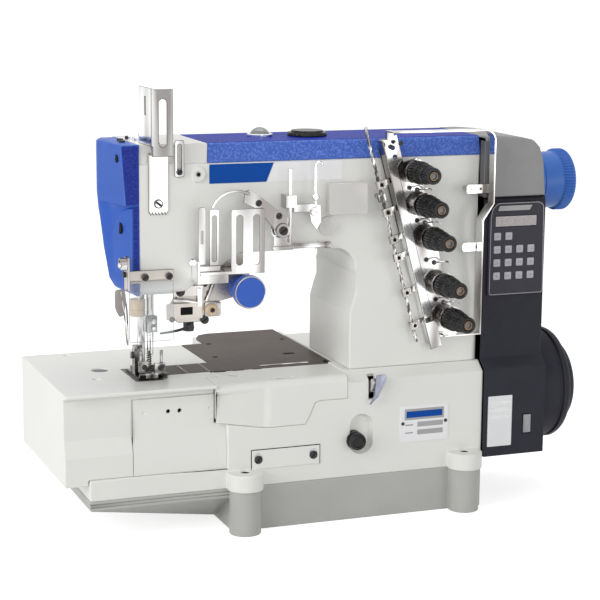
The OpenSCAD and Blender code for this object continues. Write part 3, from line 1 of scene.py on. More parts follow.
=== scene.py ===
# %% [markdown]
# # An interlock sewing machine head
#
# The machine hems stretchy cloth: three needles come down through a small plate on the bed, and a looper
# under it catches their threads. The construction comes packed as a frame, where every casting, shaft and
# lever already sits in its place. This lesson dresses it: cast parts get soft edges and enamel, turned parts
# are spun from profiles, wires are carried along paths. Shapes are worked out in millimetres and scaled to
# metres when a mesh is made.
# %% Load the frame
import json
import math
import bmesh
import bpy
import numpy as np
from mathutils import Matrix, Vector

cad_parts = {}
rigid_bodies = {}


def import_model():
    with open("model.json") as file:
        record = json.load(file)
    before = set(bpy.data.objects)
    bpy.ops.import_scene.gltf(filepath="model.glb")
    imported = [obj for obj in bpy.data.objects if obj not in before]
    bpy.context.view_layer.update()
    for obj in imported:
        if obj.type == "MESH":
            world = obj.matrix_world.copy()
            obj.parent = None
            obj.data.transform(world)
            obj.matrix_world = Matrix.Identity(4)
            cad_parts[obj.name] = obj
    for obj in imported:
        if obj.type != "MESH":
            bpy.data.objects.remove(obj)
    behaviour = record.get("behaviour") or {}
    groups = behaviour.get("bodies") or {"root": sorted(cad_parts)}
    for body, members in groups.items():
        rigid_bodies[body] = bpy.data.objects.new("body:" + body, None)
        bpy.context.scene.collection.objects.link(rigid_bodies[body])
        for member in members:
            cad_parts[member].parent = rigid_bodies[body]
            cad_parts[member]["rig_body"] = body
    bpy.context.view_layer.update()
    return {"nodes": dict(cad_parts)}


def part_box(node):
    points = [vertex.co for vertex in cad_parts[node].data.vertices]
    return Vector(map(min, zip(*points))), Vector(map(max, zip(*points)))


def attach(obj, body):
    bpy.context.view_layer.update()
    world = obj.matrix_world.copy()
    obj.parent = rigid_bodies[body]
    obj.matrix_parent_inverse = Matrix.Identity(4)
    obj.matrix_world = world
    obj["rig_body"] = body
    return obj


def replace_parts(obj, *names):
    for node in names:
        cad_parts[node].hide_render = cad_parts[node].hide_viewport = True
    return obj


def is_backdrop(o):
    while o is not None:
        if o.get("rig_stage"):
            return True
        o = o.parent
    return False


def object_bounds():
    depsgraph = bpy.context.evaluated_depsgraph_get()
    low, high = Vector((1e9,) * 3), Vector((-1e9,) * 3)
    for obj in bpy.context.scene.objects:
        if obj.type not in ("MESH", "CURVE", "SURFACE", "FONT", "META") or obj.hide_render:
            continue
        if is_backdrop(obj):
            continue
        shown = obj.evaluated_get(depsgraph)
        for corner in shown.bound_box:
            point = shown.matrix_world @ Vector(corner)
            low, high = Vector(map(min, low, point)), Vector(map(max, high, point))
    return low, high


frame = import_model()
MM = 0.001

# %% [markdown]
# ## Planes that many pieces share
# A screw or a field sits on a face of the construction. The faces and axes that come up again and again are
# named once, in millimetres, so that each piece says where it belongs.
# %% Shared planes
ARM_FRONT = -83.0  # front of the arm and of the face cover
PLATE_FRONT = -102.0  # front of the tension plate
PANEL_FRONT = -99.0  # face of the control panel
BED_FRONT = -104.0  # front of the bed
BOX_FRONT = -108.0  # front of the motor's box
BED_TOP, ARM_TOP = 158.0, 402.0
SHAFT_Y, UPPER_Z, LOWER_Z = -42.0, 347.0, 118.0  # both shafts run along X
PRESSER_AT = (-220.0, -44.0)  # X and Y of the presser bar
PAN_TOP, FOOT_PAD = 47.0, 18.0  # top of the oil pan, and the height of the pads on it
BOLTS_X, BOLTS_Y = (-125.0, 125.0), (-110.0, 110.0)
print("shared planes named")

# %% [markdown]
# ## The camera
# A long lens from the left front, a little above the bed. The direction is kept as three angles, and the
# camera's axes are built from them, so that each angle can be changed by itself.
# %% Camera
YAW, PITCH, ROLL = math.radians(-21.0), math.radians(10.6), math.radians(0.5)
EYE = np.array([-0.7149, -1.7994, 0.5802])
LENS, SENSOR = 108.0, 36.0


def camera_axes(yaw, pitch, roll):
    """Right, up and back: back points from the object to the eye, right is level, then both turn by roll."""
    back = np.array([math.sin(yaw) * math.cos(pitch), -math.cos(yaw) * math.cos(pitch), math.sin(pitch)])
    level = np.cross(-back, [0, 0, 1.0])
    level /= np.linalg.norm(level)
    upright = np.cross(level, -back)
    right = math.cos(roll) * level + math.sin(roll) * upright
    up = math.cos(roll) * upright - math.sin(roll) * level
    return right, up, back


def make_camera():
    """The scene's camera: its matrix has the three axes as columns and the eye as its place."""
    data = bpy.data.cameras.new("camera")
    data.lens, data.sensor_width = LENS, SENSOR
    data.clip_start, data.clip_end = 0.05, 50
    cam = bpy.data.objects.new("camera", data)
    bpy.context.scene.collection.objects.link(cam)
    turn = np.eye(4)
    turn[:3, :3] = np.column_stack(camera_axes(YAW, PITCH, ROLL))
    turn[:3, 3] = EYE
    cam.matrix_world = Matrix(turn.tolist())
    bpy.context.scene.camera = cam


make_camera()
print("camera at", EYE)

# %% [markdown]
# ## Surfaces from arrays
# A shape here is a grid of points: rings along one direction, points around the other. One function turns
# any such grid into a mesh; the ends are closed with a flat face or meet in a point.
# %% Grid to mesh


def as_object(name, verts, faces, material, body, slot=None, sharp=35.0):
    """A piece that rides on a body, from corners in mm and faces: doubles are merged, faces turned outwards,
    and edges flatter than `sharp` degrees are shaded smooth."""
    mesh = bpy.data.meshes.new(name)
    mesh.from_pydata((np.asarray(verts, float) * MM).tolist(), [], [list(f) for f in faces])
    bm = bmesh.new()
    bm.from_mesh(mesh)
    bmesh.ops.remove_doubles(bm, verts=bm.verts[:], dist=2e-6)
    bmesh.ops.recalc_face_normals(bm, faces=bm.faces[:])
    bm.to_mesh(mesh)
    bm.free()
    mesh.shade_smooth()
    mesh.set_sharp_from_angle(angle=math.radians(sharp))
    mesh.materials.append(material)
    piece = bpy.data.objects.new(name, mesh)
    bpy.context.scene.collection.objects.link(piece)
    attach(piece, body)
    return piece


def grid_faces(rings, around, looped=False):
    """Quads between neighbouring rings. Unless the last ring meets the first, one face closes each end."""
    i, j = np.meshgrid(np.arange(rings if looped else rings - 1), np.arange(around), indexing="ij")
    below, ahead = (i + 1) % rings, (j + 1) % around
    quads = np.stack([i * around + j, i * around + ahead, below * around + ahead, below * around + j], -1)
    faces = quads.reshape(-1, 4).tolist()
    if not looped:
        faces += [list(range(around))[::-1], list(range((rings - 1) * around, rings * around))]
    return faces


def loft(points, looped=False):
    """A stack of closed rings, shape (rings, around, 3), as corners and faces."""
    return points.reshape(-1, 3), grid_faces(*points.shape[:2], looped)


def join(*parts):
    """Several (corners, faces) as one."""
    verts, faces, start = [], [], 0
    for v, f in parts:
        verts.append(np.asarray(v, float))
        faces += [[start + k for k in face] for face in f]
        start += len(v)
    return np.vstack(verts), faces


print("grid helpers ready")


# %% [markdown]
# ## Outlines
# Profiles and outlines are short lists of corner points. Real edges are never knife sharp, so every corner
# is replaced with a small curve before the outline is used.
# %% Outlines


def fillet(points, radius, steps=4, closed=True):
    """Each corner becomes a parabola. Its ends lie `radius` back along both edges, at most 0.45 of them."""
    p = np.asarray(points, float)
    before, after = np.roll(p, 1, 0) - p, np.roll(p, -1, 0) - p
    la, lb = np.linalg.norm(before, axis=1), np.linalg.norm(after, axis=1)
    r = np.broadcast_to(np.asarray(radius, float), (len(p),))
    r = np.minimum(r, 0.45 * np.minimum(la, lb))
    a, b = p + before * (r / la)[:, None], p + after * (r / lb)[:, None]
    t = np.linspace(0, 1, steps + 1)[None, :, None]
    curve = (1 - t) ** 2 * a[:, None] + 2 * t * (1 - t) * p[:, None] + t ** 2 * b[:, None]
    if not closed:
        inner = curve[1:-1].reshape(-1, p.shape[1])
        return np.vstack([p[:1], inner, p[-1:]])
    return curve.reshape(-1, p.shape[1])


def resample(points, n, closed=True):
    """n points at equal steps of length along a polyline."""
    p = np.asarray(points, float)
    p = np.vstack([p, p[:1]]) if closed else p
    s = np.concatenate([[0], np.cumsum(np.linalg.norm(np.diff(p, axis=0), axis=1))])
    at = np.linspace(0, s[-1], n, endpoint=not closed)
    return np.column_stack([np.interp(at, s, p[:, k]) for k in range(p.shape[1])])


def inward(outline):
    """Unit normals of a closed outline that point into it, from the sum of the two edge normals."""
    p = np.asarray(outline, float)
    edge = np.roll(p, -1, 0) - p
    edge /= np.maximum(np.linalg.norm(edge, axis=1), 1e-9)[:, None]
    normal = np.column_stack([-edge[:, 1], edge[:, 0]])
    area = np.sum(p[:, 0] * np.roll(p[:, 1], -1) - np.roll(p[:, 0], -1) * p[:, 1])
    both = (normal + np.roll(normal, 1, 0)) * np.sign(area)
    both /= np.maximum(np.linalg.norm(both, axis=1), 1e-9)[:, None]
    lean = np.clip(np.sum(both * normal, 1) * np.sign(area), 0.35, 1)
    return both / lean[:, None]


def oblong(x0, x1, y0, y1, r=1.0, steps=5):
    """A rectangle with its corners rounded by r."""
    return fillet([(x0, y0), (x1, y0), (x1, y1), (x0, y1)], r, steps)


def disc(centre, radius, n=48):
    """A circle as an outline."""
    a = np.linspace(0, 2 * math.pi, n, endpoint=False)
    return np.column_stack([centre[0] + radius * np.cos(a), centre[1] + radius * np.sin(a)])


def smooth(x, low, high):
    """0 below low, 1 above high, 3t^2 - 2t^3 between."""
    t = np.clip((x - low) / (high - low), 0, 1)
    return t * t * (3 - 2 * t)


print("outline helpers ready")

# %% [markdown]
# ## Slabs, turned shapes and wires
# Three moves make nearly every piece here. An outline pushed along an axis is a plate, a profile turned round
# an axis is a knob or a cap, and a circle carried along a path is a wire.
# %% Slabs, turned shapes and wires
PLANES = {"X": (1, 2, 0), "Y": (0, 2, 1), "Z": (0, 1, 2)}


def place(flat, along, axis):
    """2-D points at a height along an axis, as 3-D points: X takes (Y, Z), Y takes (X, Z), Z takes (X, Y)."""
    flat = np.asarray(flat, float)
    out = np.empty(flat.shape[:-1] + (3,))
    a, b, c = PLANES[axis]
    out[..., a], out[..., b], out[..., c] = flat[..., 0], flat[..., 1], along
    return out


def slab(outline, axis, low, high, edge=0.5, steps=3):
    """An outline pushed along an axis, its two rims rounded as a quarter circle of radius `edge`."""
    edge = min(edge, (high - low) / 2)
    turn = np.linspace(0, math.pi / 2, steps + 1)
    inset = np.concatenate([edge * (1 - np.sin(turn)), edge * (1 - np.sin(turn[::-1]))])
    height = np.concatenate([low + edge * (1 - np.cos(turn)), high - edge * (1 - np.cos(turn[::-1]))])
    flat = np.asarray(outline, float)[None] + inset[:, None, None] * inward(outline)[None]
    return loft(place(flat, height[:, None], axis))


def spin(profile, centre, axis="X", n=96, ripple=None, looped=False):
    """A profile of (distance along the axis, radius) turned round it; ripple(angle, along, r) scales r."""
    p = np.asarray(profile, float)
    a = np.linspace(0, 2 * math.pi, n, endpoint=False)[None, :]
    r = np.maximum(p[:, 1:2], 1e-3) * (np.ones_like(a) if ripple is None else ripple(a, p[:, :1], p[:, 1:2]))
    flat = np.stack([centre[0] + r * np.cos(a), centre[1] + r * np.sin(a)], -1)
    return loft(place(flat, np.broadcast_to(p[:, :1], r.shape), axis), looped=looped)


def wire(path, radius, n=12, looped=False):
    """A tube: each ring stands square to the path, and its first direction is carried along with no twist."""
    p = np.asarray(path, float)
    tangent = np.gradient(p, axis=0)
    if looped:
        tangent = np.roll(p, -1, 0) - np.roll(p, 1, 0)
    tangent /= np.linalg.norm(tangent, axis=1)[:, None]
    side = np.cross(tangent[0], [0.3, 0.5, 0.8])
    sides = []
    for t in tangent:
        side = side - t * (side @ t)
        side = side / np.linalg.norm(side)
        sides.append(side)
    u = np.array(sides)
    v = np.cross(tangent, u)
    a = np.linspace(0, 2 * math.pi, n, endpoint=False)[None, :, None]
    r = np.broadcast_to(np.asarray(radius, float), (len(p),))[:, None, None]
    return loft(p[:, None] + r * (u[:, None] * np.cos(a) + v[:, None] * np.sin(a)), looped=looped)


def curve(points, n, radius):
    """A path through corners that are rounded, as n points at equal steps."""
    return resample(fillet(points, radius, 6, closed=False), n, closed=False)


print("shape helpers ready")

# %% [markdown]
# ## How a finish is built
# Every finish is a Principled shader. What is the same all over stands on its sockets, and a noise texture
# on Object coordinates supplies only what varies: a mottle in the colour, the grain and the gloss.
# %% Finish helpers
FLAKE_RANGE, SHINE_RANGE = (0.45, 0.75), (0.3, 0.7)


def noise(nodes, links, where, scale, detail):
    """A noise texture read at `where`."""
    n = nodes.new("ShaderNodeTexNoise")
    n.inputs["Scale"].default_value = scale
    n.inputs["Detail"].default_value = detail
    links.new(where, n.inputs["Vector"])
    return n.outputs["Fac"]


def remap(nodes, links, value, start, end=(0.0, 1.0)):
    """The value taken from the range `start` to the range `end`, and held at its ends."""
    n = nodes.new("ShaderNodeMapRange")
    n.inputs["From Min"].default_value, n.inputs["From Max"].default_value = start
    n.inputs["To Min"].default_value, n.inputs["To Max"].default_value = end
    links.new(value, n.inputs["Value"])
    return n.outputs["Result"]


def finish(name, colour, rough, metal=0.0, mottle=0.06, mottle_scale=60.0, grain=0.15, grain_scale=900.0,
           gloss=0.08, stretch=(1, 1, 1), coat=0.0, coat_rough=0.1, depth=0.00006, flake=0.0, alpha=1.0,
           specular=0.5, painted_reflection_dark=None, spread=0.2, detail=4.0):
    """A procedural finish: colour times (1 +- mottle), roughness +- gloss, and a fine bump as its grain.
    With a dark tone given, the colour goes from that tone to colour while the noise runs over 0.5 +- spread,
    which paints reflections into metals. With `flake`, the fine noise mixes the colours in its place, so that
    pale specks stand in the coat."""
    m = bpy.data.materials.new(name)
    m.use_nodes = True
    nodes, links = m.node_tree.nodes, m.node_tree.links
    shader = nodes["Principled BSDF"]
    for socket, value in (("Metallic", metal), ("Coat Weight", coat), ("Coat Roughness", coat_rough),
                          ("Specular IOR Level", specular), ("Alpha", alpha)):
        shader.inputs[socket].default_value = value
    coords = nodes.new("ShaderNodeTexCoord")
    mapping = nodes.new("ShaderNodeMapping")
    mapping.inputs["Scale"].default_value = stretch
    links.new(coords.outputs["Object"], mapping.inputs["Vector"])
    where = mapping.outputs["Vector"]
    mix = nodes.new("ShaderNodeMix")
    mix.data_type = "RGBA"
    low = painted_reflection_dark or [max(0.0, c * (1 - mottle)) for c in colour]
    high = [min(1.0, c * (1 + mottle) + 0.4 * flake) for c in colour]
    mix.inputs["A"].default_value = (*low, 1)
    mix.inputs["B"].default_value = (*high, 1)
    fine = noise(nodes, links, where, grain_scale, 3.0)
    if flake:
        share = remap(nodes, links, fine, FLAKE_RANGE)
    else:
        broad = noise(nodes, links, where, mottle_scale, detail)
        share = remap(nodes, links, broad, (0.5 - spread, 0.5 + spread))
    links.new(share, mix.inputs["Factor"])
    links.new(mix.outputs["Result"], shader.inputs["Base Color"])
    shine = remap(nodes, links, fine, SHINE_RANGE, (max(0.02, rough - gloss), min(1.0, rough + gloss)))
    links.new(shine, shader.inputs["Roughness"])
    bump = nodes.new("ShaderNodeBump")
    bump.inputs["Strength"].default_value = grain
    bump.inputs["Distance"].default_value = depth
    links.new(fine, bump.inputs["Height"])
    links.new(bump.outputs["Normal"], shader.inputs["Normal"])
    return m


print("finish helpers ready")

# %% [markdown]
# ## Enamels
# The castings are sprayed white and the covers blue. The blue is a hammered enamel: flat flakes in the wet
# paint leave pale specks and dimples, which a fine noise gives in both the colour and the bump. Two deeper
# blues are painted shade: one for the lid's level top, one for the front strips of the face cover. The slide
# plates have a dark brown coating.
# %% Enamels
white_enamel = finish("white_enamel", (0.80, 0.80, 0.765), 0.38, mottle=0.012, mottle_scale=14, grain=0.25,
                      grain_scale=420, coat=0.12, coat_rough=0.2, depth=0.00012, gloss=0.05, specular=0.35)
blue_enamel = finish("blue_hammered_enamel", (0.075, 0.165, 0.60), 0.42, mottle=0.15, grain=1.0,
                     grain_scale=420, flake=0.24, depth=0.0007, specular=0.1)
# Painted shade: a deeper blue for the lid's level top, which looks darker than its front.
blue_painted_shade_top = finish("blue_enamel_painted_shade_top", (0.012, 0.030, 0.34), 0.42, mottle=0.2, mottle_scale=40, grain=0.5,
                  grain_scale=480, depth=0.0003, specular=0.03)
blue_smooth = finish("blue_smooth_enamel", (0.038, 0.118, 0.50), 0.38, mottle=0.05, mottle_scale=30,
                     grain=0.15, grain_scale=700, specular=0.12)
# Painted shade: a deeper blue for the face cover's front strips, darker than its side.
blue_painted_shade_front = finish("blue_enamel_painted_shade_front", (0.010, 0.032, 0.33), 0.4, mottle=0.3, grain=0.9, grain_scale=420,
                   flake=0.05, depth=0.0005, specular=0.2)
grey_enamel = finish("grey_pan_enamel", (0.47, 0.475, 0.45), 0.46, mottle=0.04, mottle_scale=18, grain=0.3,
                     grain_scale=500, depth=0.0001, specular=0.2)
brown_coat = finish("dark_plate_coating", (0.115, 0.095, 0.085), 0.5, mottle=0.08, grain=0.2,
                    grain_scale=1500, specular=0.1)
print("enamels ready:", len(bpy.data.materials), "finishes so far")

# %% [markdown]
# ## Metals
# Polished plates and wires mirror the room, part pale and part dark. A broad noise between a pale and a dark
# tone paints such reflections into the colour, drawn out along the direction in which the part was ground or
# drawn.
# %% Metals
# Painted reflection: each metal below goes in broad streaks from its colour to a dark tone.
steel = finish("brushed_steel", (0.66, 0.64, 0.62), 0.28, metal=1.0, painted_reflection_dark=(0.32, 0.30, 0.28), spread=0.2,
               mottle_scale=38, grain=0.25, grain_scale=600, stretch=(1, 1, 0.3), gloss=0.06, detail=0.5)
bright = finish("polished_plate", (0.96, 0.96, 0.97), 0.13, metal=1.0, painted_reflection_dark=(0.33, 0.31, 0.30),
                spread=0.15, mottle_scale=32, grain=0.06, grain_scale=900, stretch=(1.8, 1.0, 0.3),
                gloss=0.04, detail=0.0)
dull_plate = finish("satin_plate", (0.56, 0.52, 0.48), 0.34, metal=1.0, painted_reflection_dark=(0.30, 0.28, 0.26),
                    spread=0.2, mottle_scale=26, grain=0.2, grain_scale=800, stretch=(0.4, 1, 1.4),
                    detail=0.5)
dark_steel = finish("blackened_steel", (0.045, 0.042, 0.045), 0.36, metal=0.5, mottle=0.2, grain=0.2,
                    specular=0.3)
wire_steel = finish("drawn_wire", (0.66, 0.65, 0.64), 0.18, metal=1.0, painted_reflection_dark=(0.10, 0.09, 0.09), spread=0.1,
                    mottle_scale=240, grain=0.1, grain_scale=900, stretch=(1, 1, 0.3), detail=1.0)
dark_chrome = finish("shaded_chrome", (0.80, 0.78, 0.76), 0.2, metal=1.0, painted_reflection_dark=(0.07, 0.06, 0.06),
                     spread=0.14, mottle_scale=110, grain=0.1, grain_scale=900, stretch=(1, 1, 0.5),
                     detail=1.5)
foot_steel = finish("hardened_foot_steel", (0.46, 0.45, 0.44), 0.22, metal=1.0, painted_reflection_dark=(0.05, 0.05, 0.05),
                    spread=0.14, mottle_scale=130, grain=0.1, grain_scale=900, detail=1.5)
ground_plate = finish("ground_plate", (0.20, 0.195, 0.19), 0.42, metal=0.4, painted_reflection_dark=(0.07, 0.068, 0.066),
                      spread=0.2, mottle_scale=90, grain=0.2, grain_scale=900, specular=0.2)
edge_steel = finish("sheet_edge", (0.10, 0.09, 0.09), 0.4, metal=0.8, mottle=0.2, mottle_scale=120,
                    grain=0.1)
plate_metal = finish("etched_plate", (0.70, 0.70, 0.70), 0.4, metal=0.3, mottle=0.04, grain=0.2)
cast_iron = finish("machined_iron", (0.16, 0.16, 0.165), 0.45, metal=0.6, mottle=0.1, grain=0.3)
brass = finish("brass_end", (0.17, 0.115, 0.075), 0.35, metal=1.0, mottle=0.2, mottle_scale=200, grain=0.2)
print("metals ready:", len(bpy.data.materials), "finishes so far")

# %% [markdown]
# ## Mouldings and rubber
# Moulded parts have one even colour and a fine matt grain. A picture of the grain would need unwrapping, so a
# very fine noise raises the bump a little. Knobs are glossier than the boxes and have a lower roughness.
# %% Mouldings
black_case = finish("black_moulded_case", (0.024, 0.024, 0.034), 0.5, mottle=0.08, grain=0.5,
                    grain_scale=1600, depth=0.00008, gloss=0.06, specular=0.15)
black_gloss = finish("black_moulded_knob", (0.008, 0.008, 0.009), 0.3, mottle=0.1, grain=0.15,
                     grain_scale=900, specular=0.3)
blue_plastic = finish("blue_moulded", (0.055, 0.17, 0.56), 0.34, mottle=0.05, grain=0.15, grain_scale=1200,
                      specular=0.3)
dial_blue = finish("blue_moulded_dial", (0.035, 0.115, 0.52), 0.3, mottle=0.05, grain=0.15,
                   grain_scale=1200, specular=0.3)
grey_cap_finish = finish("grey_moulded_cap", (0.315, 0.315, 0.315), 0.5, mottle=0.03, grain=0.4,
                         grain_scale=1500, specular=0.15)
# Painted shade: a darker grey for the cap's left strip and its side.
cap_painted_shade = finish("grey_cap_painted_shade", (0.15, 0.15, 0.155), 0.5, mottle=0.05, grain=0.4,
                   grain_scale=1500, specular=0.15)
sail_finish = finish("grey_blue_lever", (0.34, 0.36, 0.46), 0.3, metal=0.3, mottle=0.2, mottle_scale=150,
                     grain=0.1)
smoke = finish("smoked_plastic", (0.30, 0.27, 0.26), 0.2, mottle=0.1, grain=0.1, alpha=0.8, coat=0.3)
cream = finish("cream_bush", (0.66, 0.50, 0.33), 0.35, mottle=0.12, mottle_scale=150, grain=0.15,
               specular=0.4)
rubber = finish("belt_rubber", (0.02, 0.02, 0.02), 0.7, mottle=0.1, grain=0.4)
print("mouldings ready:", len(bpy.data.materials), "finishes so far")

# %% [markdown]
# ## Films, inks and shadows
# Labels and panels are printed films with little mottle. `dark_hole` is not a paint: it marks a small hole by
# the shade inside it, which is cheaper than cutting the hole.
# %% Films
panel_film = finish("panel_film", (0.050, 0.050, 0.062), 0.5, mottle=0.04, grain=0.2, grain_scale=1500,
                    specular=0.12)
key_film = finish("key_film", (0.46, 0.46, 0.50), 0.42, mottle=0.05, mottle_scale=300, grain=0.2,
                  specular=0.2)
pale_film = finish("pale_film", (0.80, 0.81, 0.82), 0.4, mottle=0.02, grain=0.1, specular=0.2)
grey_film = finish("grey_film", (0.42, 0.42, 0.42), 0.5, mottle=0.04, grain=0.1, specular=0.1)
display_glass = finish("display_window", (0.36, 0.33, 0.33), 0.2, mottle=0.1, mottle_scale=120, grain=0.05,
                       coat=0.3, coat_rough=0.05)
cell_film = finish("display_cell", (0.50, 0.46, 0.46), 0.4, mottle=0.1, grain=0.1, specular=0.1)
label_blue = finish("label_blue_film", (0.003, 0.070, 0.36), 0.4, mottle=0.03, grain=0.1, specular=0.1)
label_white = finish("label_white_film", (0.88, 0.88, 0.89), 0.4, mottle=0.01, grain=0.1, specular=0.1)
ink = finish("grey_ink", (0.34, 0.34, 0.36), 0.5, mottle=0.1, grain=0.1)
dark_hole = finish("shadowed_hole", (0.012, 0.012, 0.014), 0.7, mottle=0.1, grain=0.2, specular=0.05)
print("films ready:", len(bpy.data.materials), "finishes so far")

# %% [markdown]
# ## Clear sheets
# The guards are clear plastic. Glass shading would bend and darken what is behind them, so a low alpha lets
# the parts show through, and a coat keeps the gloss.
# %% Clear sheets


def clear_finish(name, colour, alpha, rough=0.06):
    """Thin clear sheet: mostly see-through, with gloss; a faint ripple bends its reflections."""
    return finish(name, colour, rough, mottle=0.02, grain=0.1, grain_scale=60, alpha=alpha, coat=0.6,
                  coat_rough=0.04, gloss=0.02)


clear_sheet = clear_finish("clear_sheet", (0.80, 0.86, 0.88), 0.16)
frosted = clear_finish("frosted_sheet", (0.82, 0.80, 0.78), 0.55, 0.3)
sight_glass = clear_finish("sight_glass", (0.26, 0.28, 0.27), 0.7)
print("clear sheets ready:", len(bpy.data.materials), "finishes in all")

# %% [markdown]
# ## Which edges are rounded
# A cast edge has a radius. Rounding every edge would fold the short ones, so each edge gets a weight. It must
# be sharp, and it must be long enough to carry the bevel or be part of a longer run. A few hollows that run
# out into a flat face have no room for a rounded edge, and their boxes are spared.
# %% Edge weights
LONG_ENOUGH, RUNS_STRAIGHT = 2.2, -0.85  # in bevel widths; cosine between an edge and the next one
SHARP_ANGLE = math.radians(32.0)
SPARED = {"bed_frame": [((-12, -107, 66), (34, -90, 122)), ((-13, -107, 120), (-7, -90, 161))],
          "bed_table": [((-240, -72, 138), (-160, 0, 158.5))],
          "lever_bracket": [((-100, -110, 285), (-60, -80, 316))]}


def in_boxes(edge, boxes):
    """Whether both ends of an edge lie in one of the boxes, given in millimetres."""
    ends = np.array([v.co[:] for v in edge.verts]) / MM
    return any(np.all(ends >= low) and np.all(ends <= high) for low, high in boxes)


def edge_weights(bm, width, spared):
    """1 for a sharp edge that is longer than 2.2 widths or runs on at both ends; 0 for the others and inside
    the spared boxes."""
    edges = bm.edges[:]
    bent = [e.is_manifold and e.calc_face_angle(0.0) > SHARP_ANGLE and not in_boxes(e, spared) for e in edges]
    sharp = {e.index for e, b in zip(edges, bent) if b}

    def runs_on(edge, vert):
        """Whether another sharp edge goes on from vert in nearly the same direction."""
        along = (edge.other_vert(vert).co - vert.co).normalized()
        return any(o.index in sharp and o is not edge and
                   along.dot((o.other_vert(vert).co - vert.co).normalized()) < RUNS_STRAIGHT
                   for o in vert.link_edges)

    return [float(b and (e.calc_length() > LONG_ENOUGH * width or all(runs_on(e, v) for v in e.verts)))
            for e, b in zip(edges, bent)]


print("boxes spared:", sum(len(boxes) for boxes in SPARED.values()))

# %% [markdown]
# ## The hollow of the looper cover
# The left third of this cover is pressed back a few millimetres, and the step to it is soft. The plate could
# be modelled anew, but only its face changes. So it is cut across at close steps, which gives it points that
# can follow the curve, and those points are moved.
# %% Hollow
HOLLOW_CUTS = (-150.0, -104.0, -102.0, -100.5, -99.0, -97.5, -96.0, -94.0)
HOLLOW_DEPTH, HOLLOW_TOP, HOLLOW_FRONT = 3.8, 149.0, -104.2
STEP_START, STEP_END = -104.0, -94.0


def hollow_cover(bm):
    """Below the cover's rim, Y moves back by depth (1 - smooth(x)); smooth rises over the step."""
    for x in HOLLOW_CUTS:
        every = bm.verts[:] + bm.edges[:] + bm.faces[:]
        bmesh.ops.bisect_plane(bm, geom=every, plane_co=(x * MM, 0, 0), plane_no=(1, 0, 0), dist=1e-6)
    for v in bm.verts:
        x, y, z = v.co / MM
        if y < HOLLOW_FRONT and z < HOLLOW_TOP and x < STEP_END:
            v.co.y += HOLLOW_DEPTH * MM * (1 - smooth(x, STEP_START, STEP_END))


SHAPED = {"looper_cover": hollow_cover}
print("shaped before softening:", *SHAPED)

# %% [markdown]
# ## Castings and sheet parts with soft edges
# The castings come as triangles with knife-sharp edges. They are merged into a clean copy, flat faces are
# dissolved back into whole ones, and a bevel rounds the edges that have a weight. A bevel modifier is chosen
# over new meshes because the copy keeps every face of the construction in its place.
# %% Soften
MERGE_DISTANCE, FLAT_ANGLE = 3e-6, math.radians(0.6)


def soften(node, material, width, segments, rim):
    """A merged copy of a CAD node, with rounded edges, that stands for it; `rim` coats the rounded strips."""
    bm = bmesh.new()
    bm.from_mesh(frame["nodes"][node].data)
    bmesh.ops.remove_doubles(bm, verts=bm.verts[:], dist=MERGE_DISTANCE)
    bmesh.ops.dissolve_limit(bm, angle_limit=FLAT_ANGLE, verts=bm.verts[:], edges=bm.edges[:])
    if node in SHAPED:
        SHAPED[node](bm)
    bm.edges.index_update()
    weights = edge_weights(bm, width * MM, SPARED.get(node, ()))
    mesh = bpy.data.meshes.new(node + "_soft")
    bm.to_mesh(mesh)
    bm.free()
    mesh.shade_smooth()
    mesh.set_sharp_from_angle(angle=SHARP_ANGLE)
    layer = mesh.attributes.new("bevel_weight_edge", "FLOAT", "EDGE")
    layer.data.foreach_set("value", np.array(weights, np.float32))
    mesh.materials.clear()
    mesh.materials.append(material)
    if rim:
        mesh.materials.append(rim)
    piece = bpy.data.objects.new(node + "_soft", mesh)
    bpy.context.scene.collection.objects.link(piece)
    bevel = piece.modifiers.new("edge", "BEVEL")
    bevel.limit_method = "WEIGHT"
    bevel.width, bevel.segments = width * MM, segments
    bevel.use_clamp_overlap = False
    bevel.material = 1 if rim else -1
    bevel.miter_outer = "MITER_ARC"
    normals = piece.modifiers.new("normals", "WEIGHTED_NORMAL")
    normals.keep_sharp = True
    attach(piece, frame["nodes"][node]["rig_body"])
    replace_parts(piece, node)


print("softening ready")

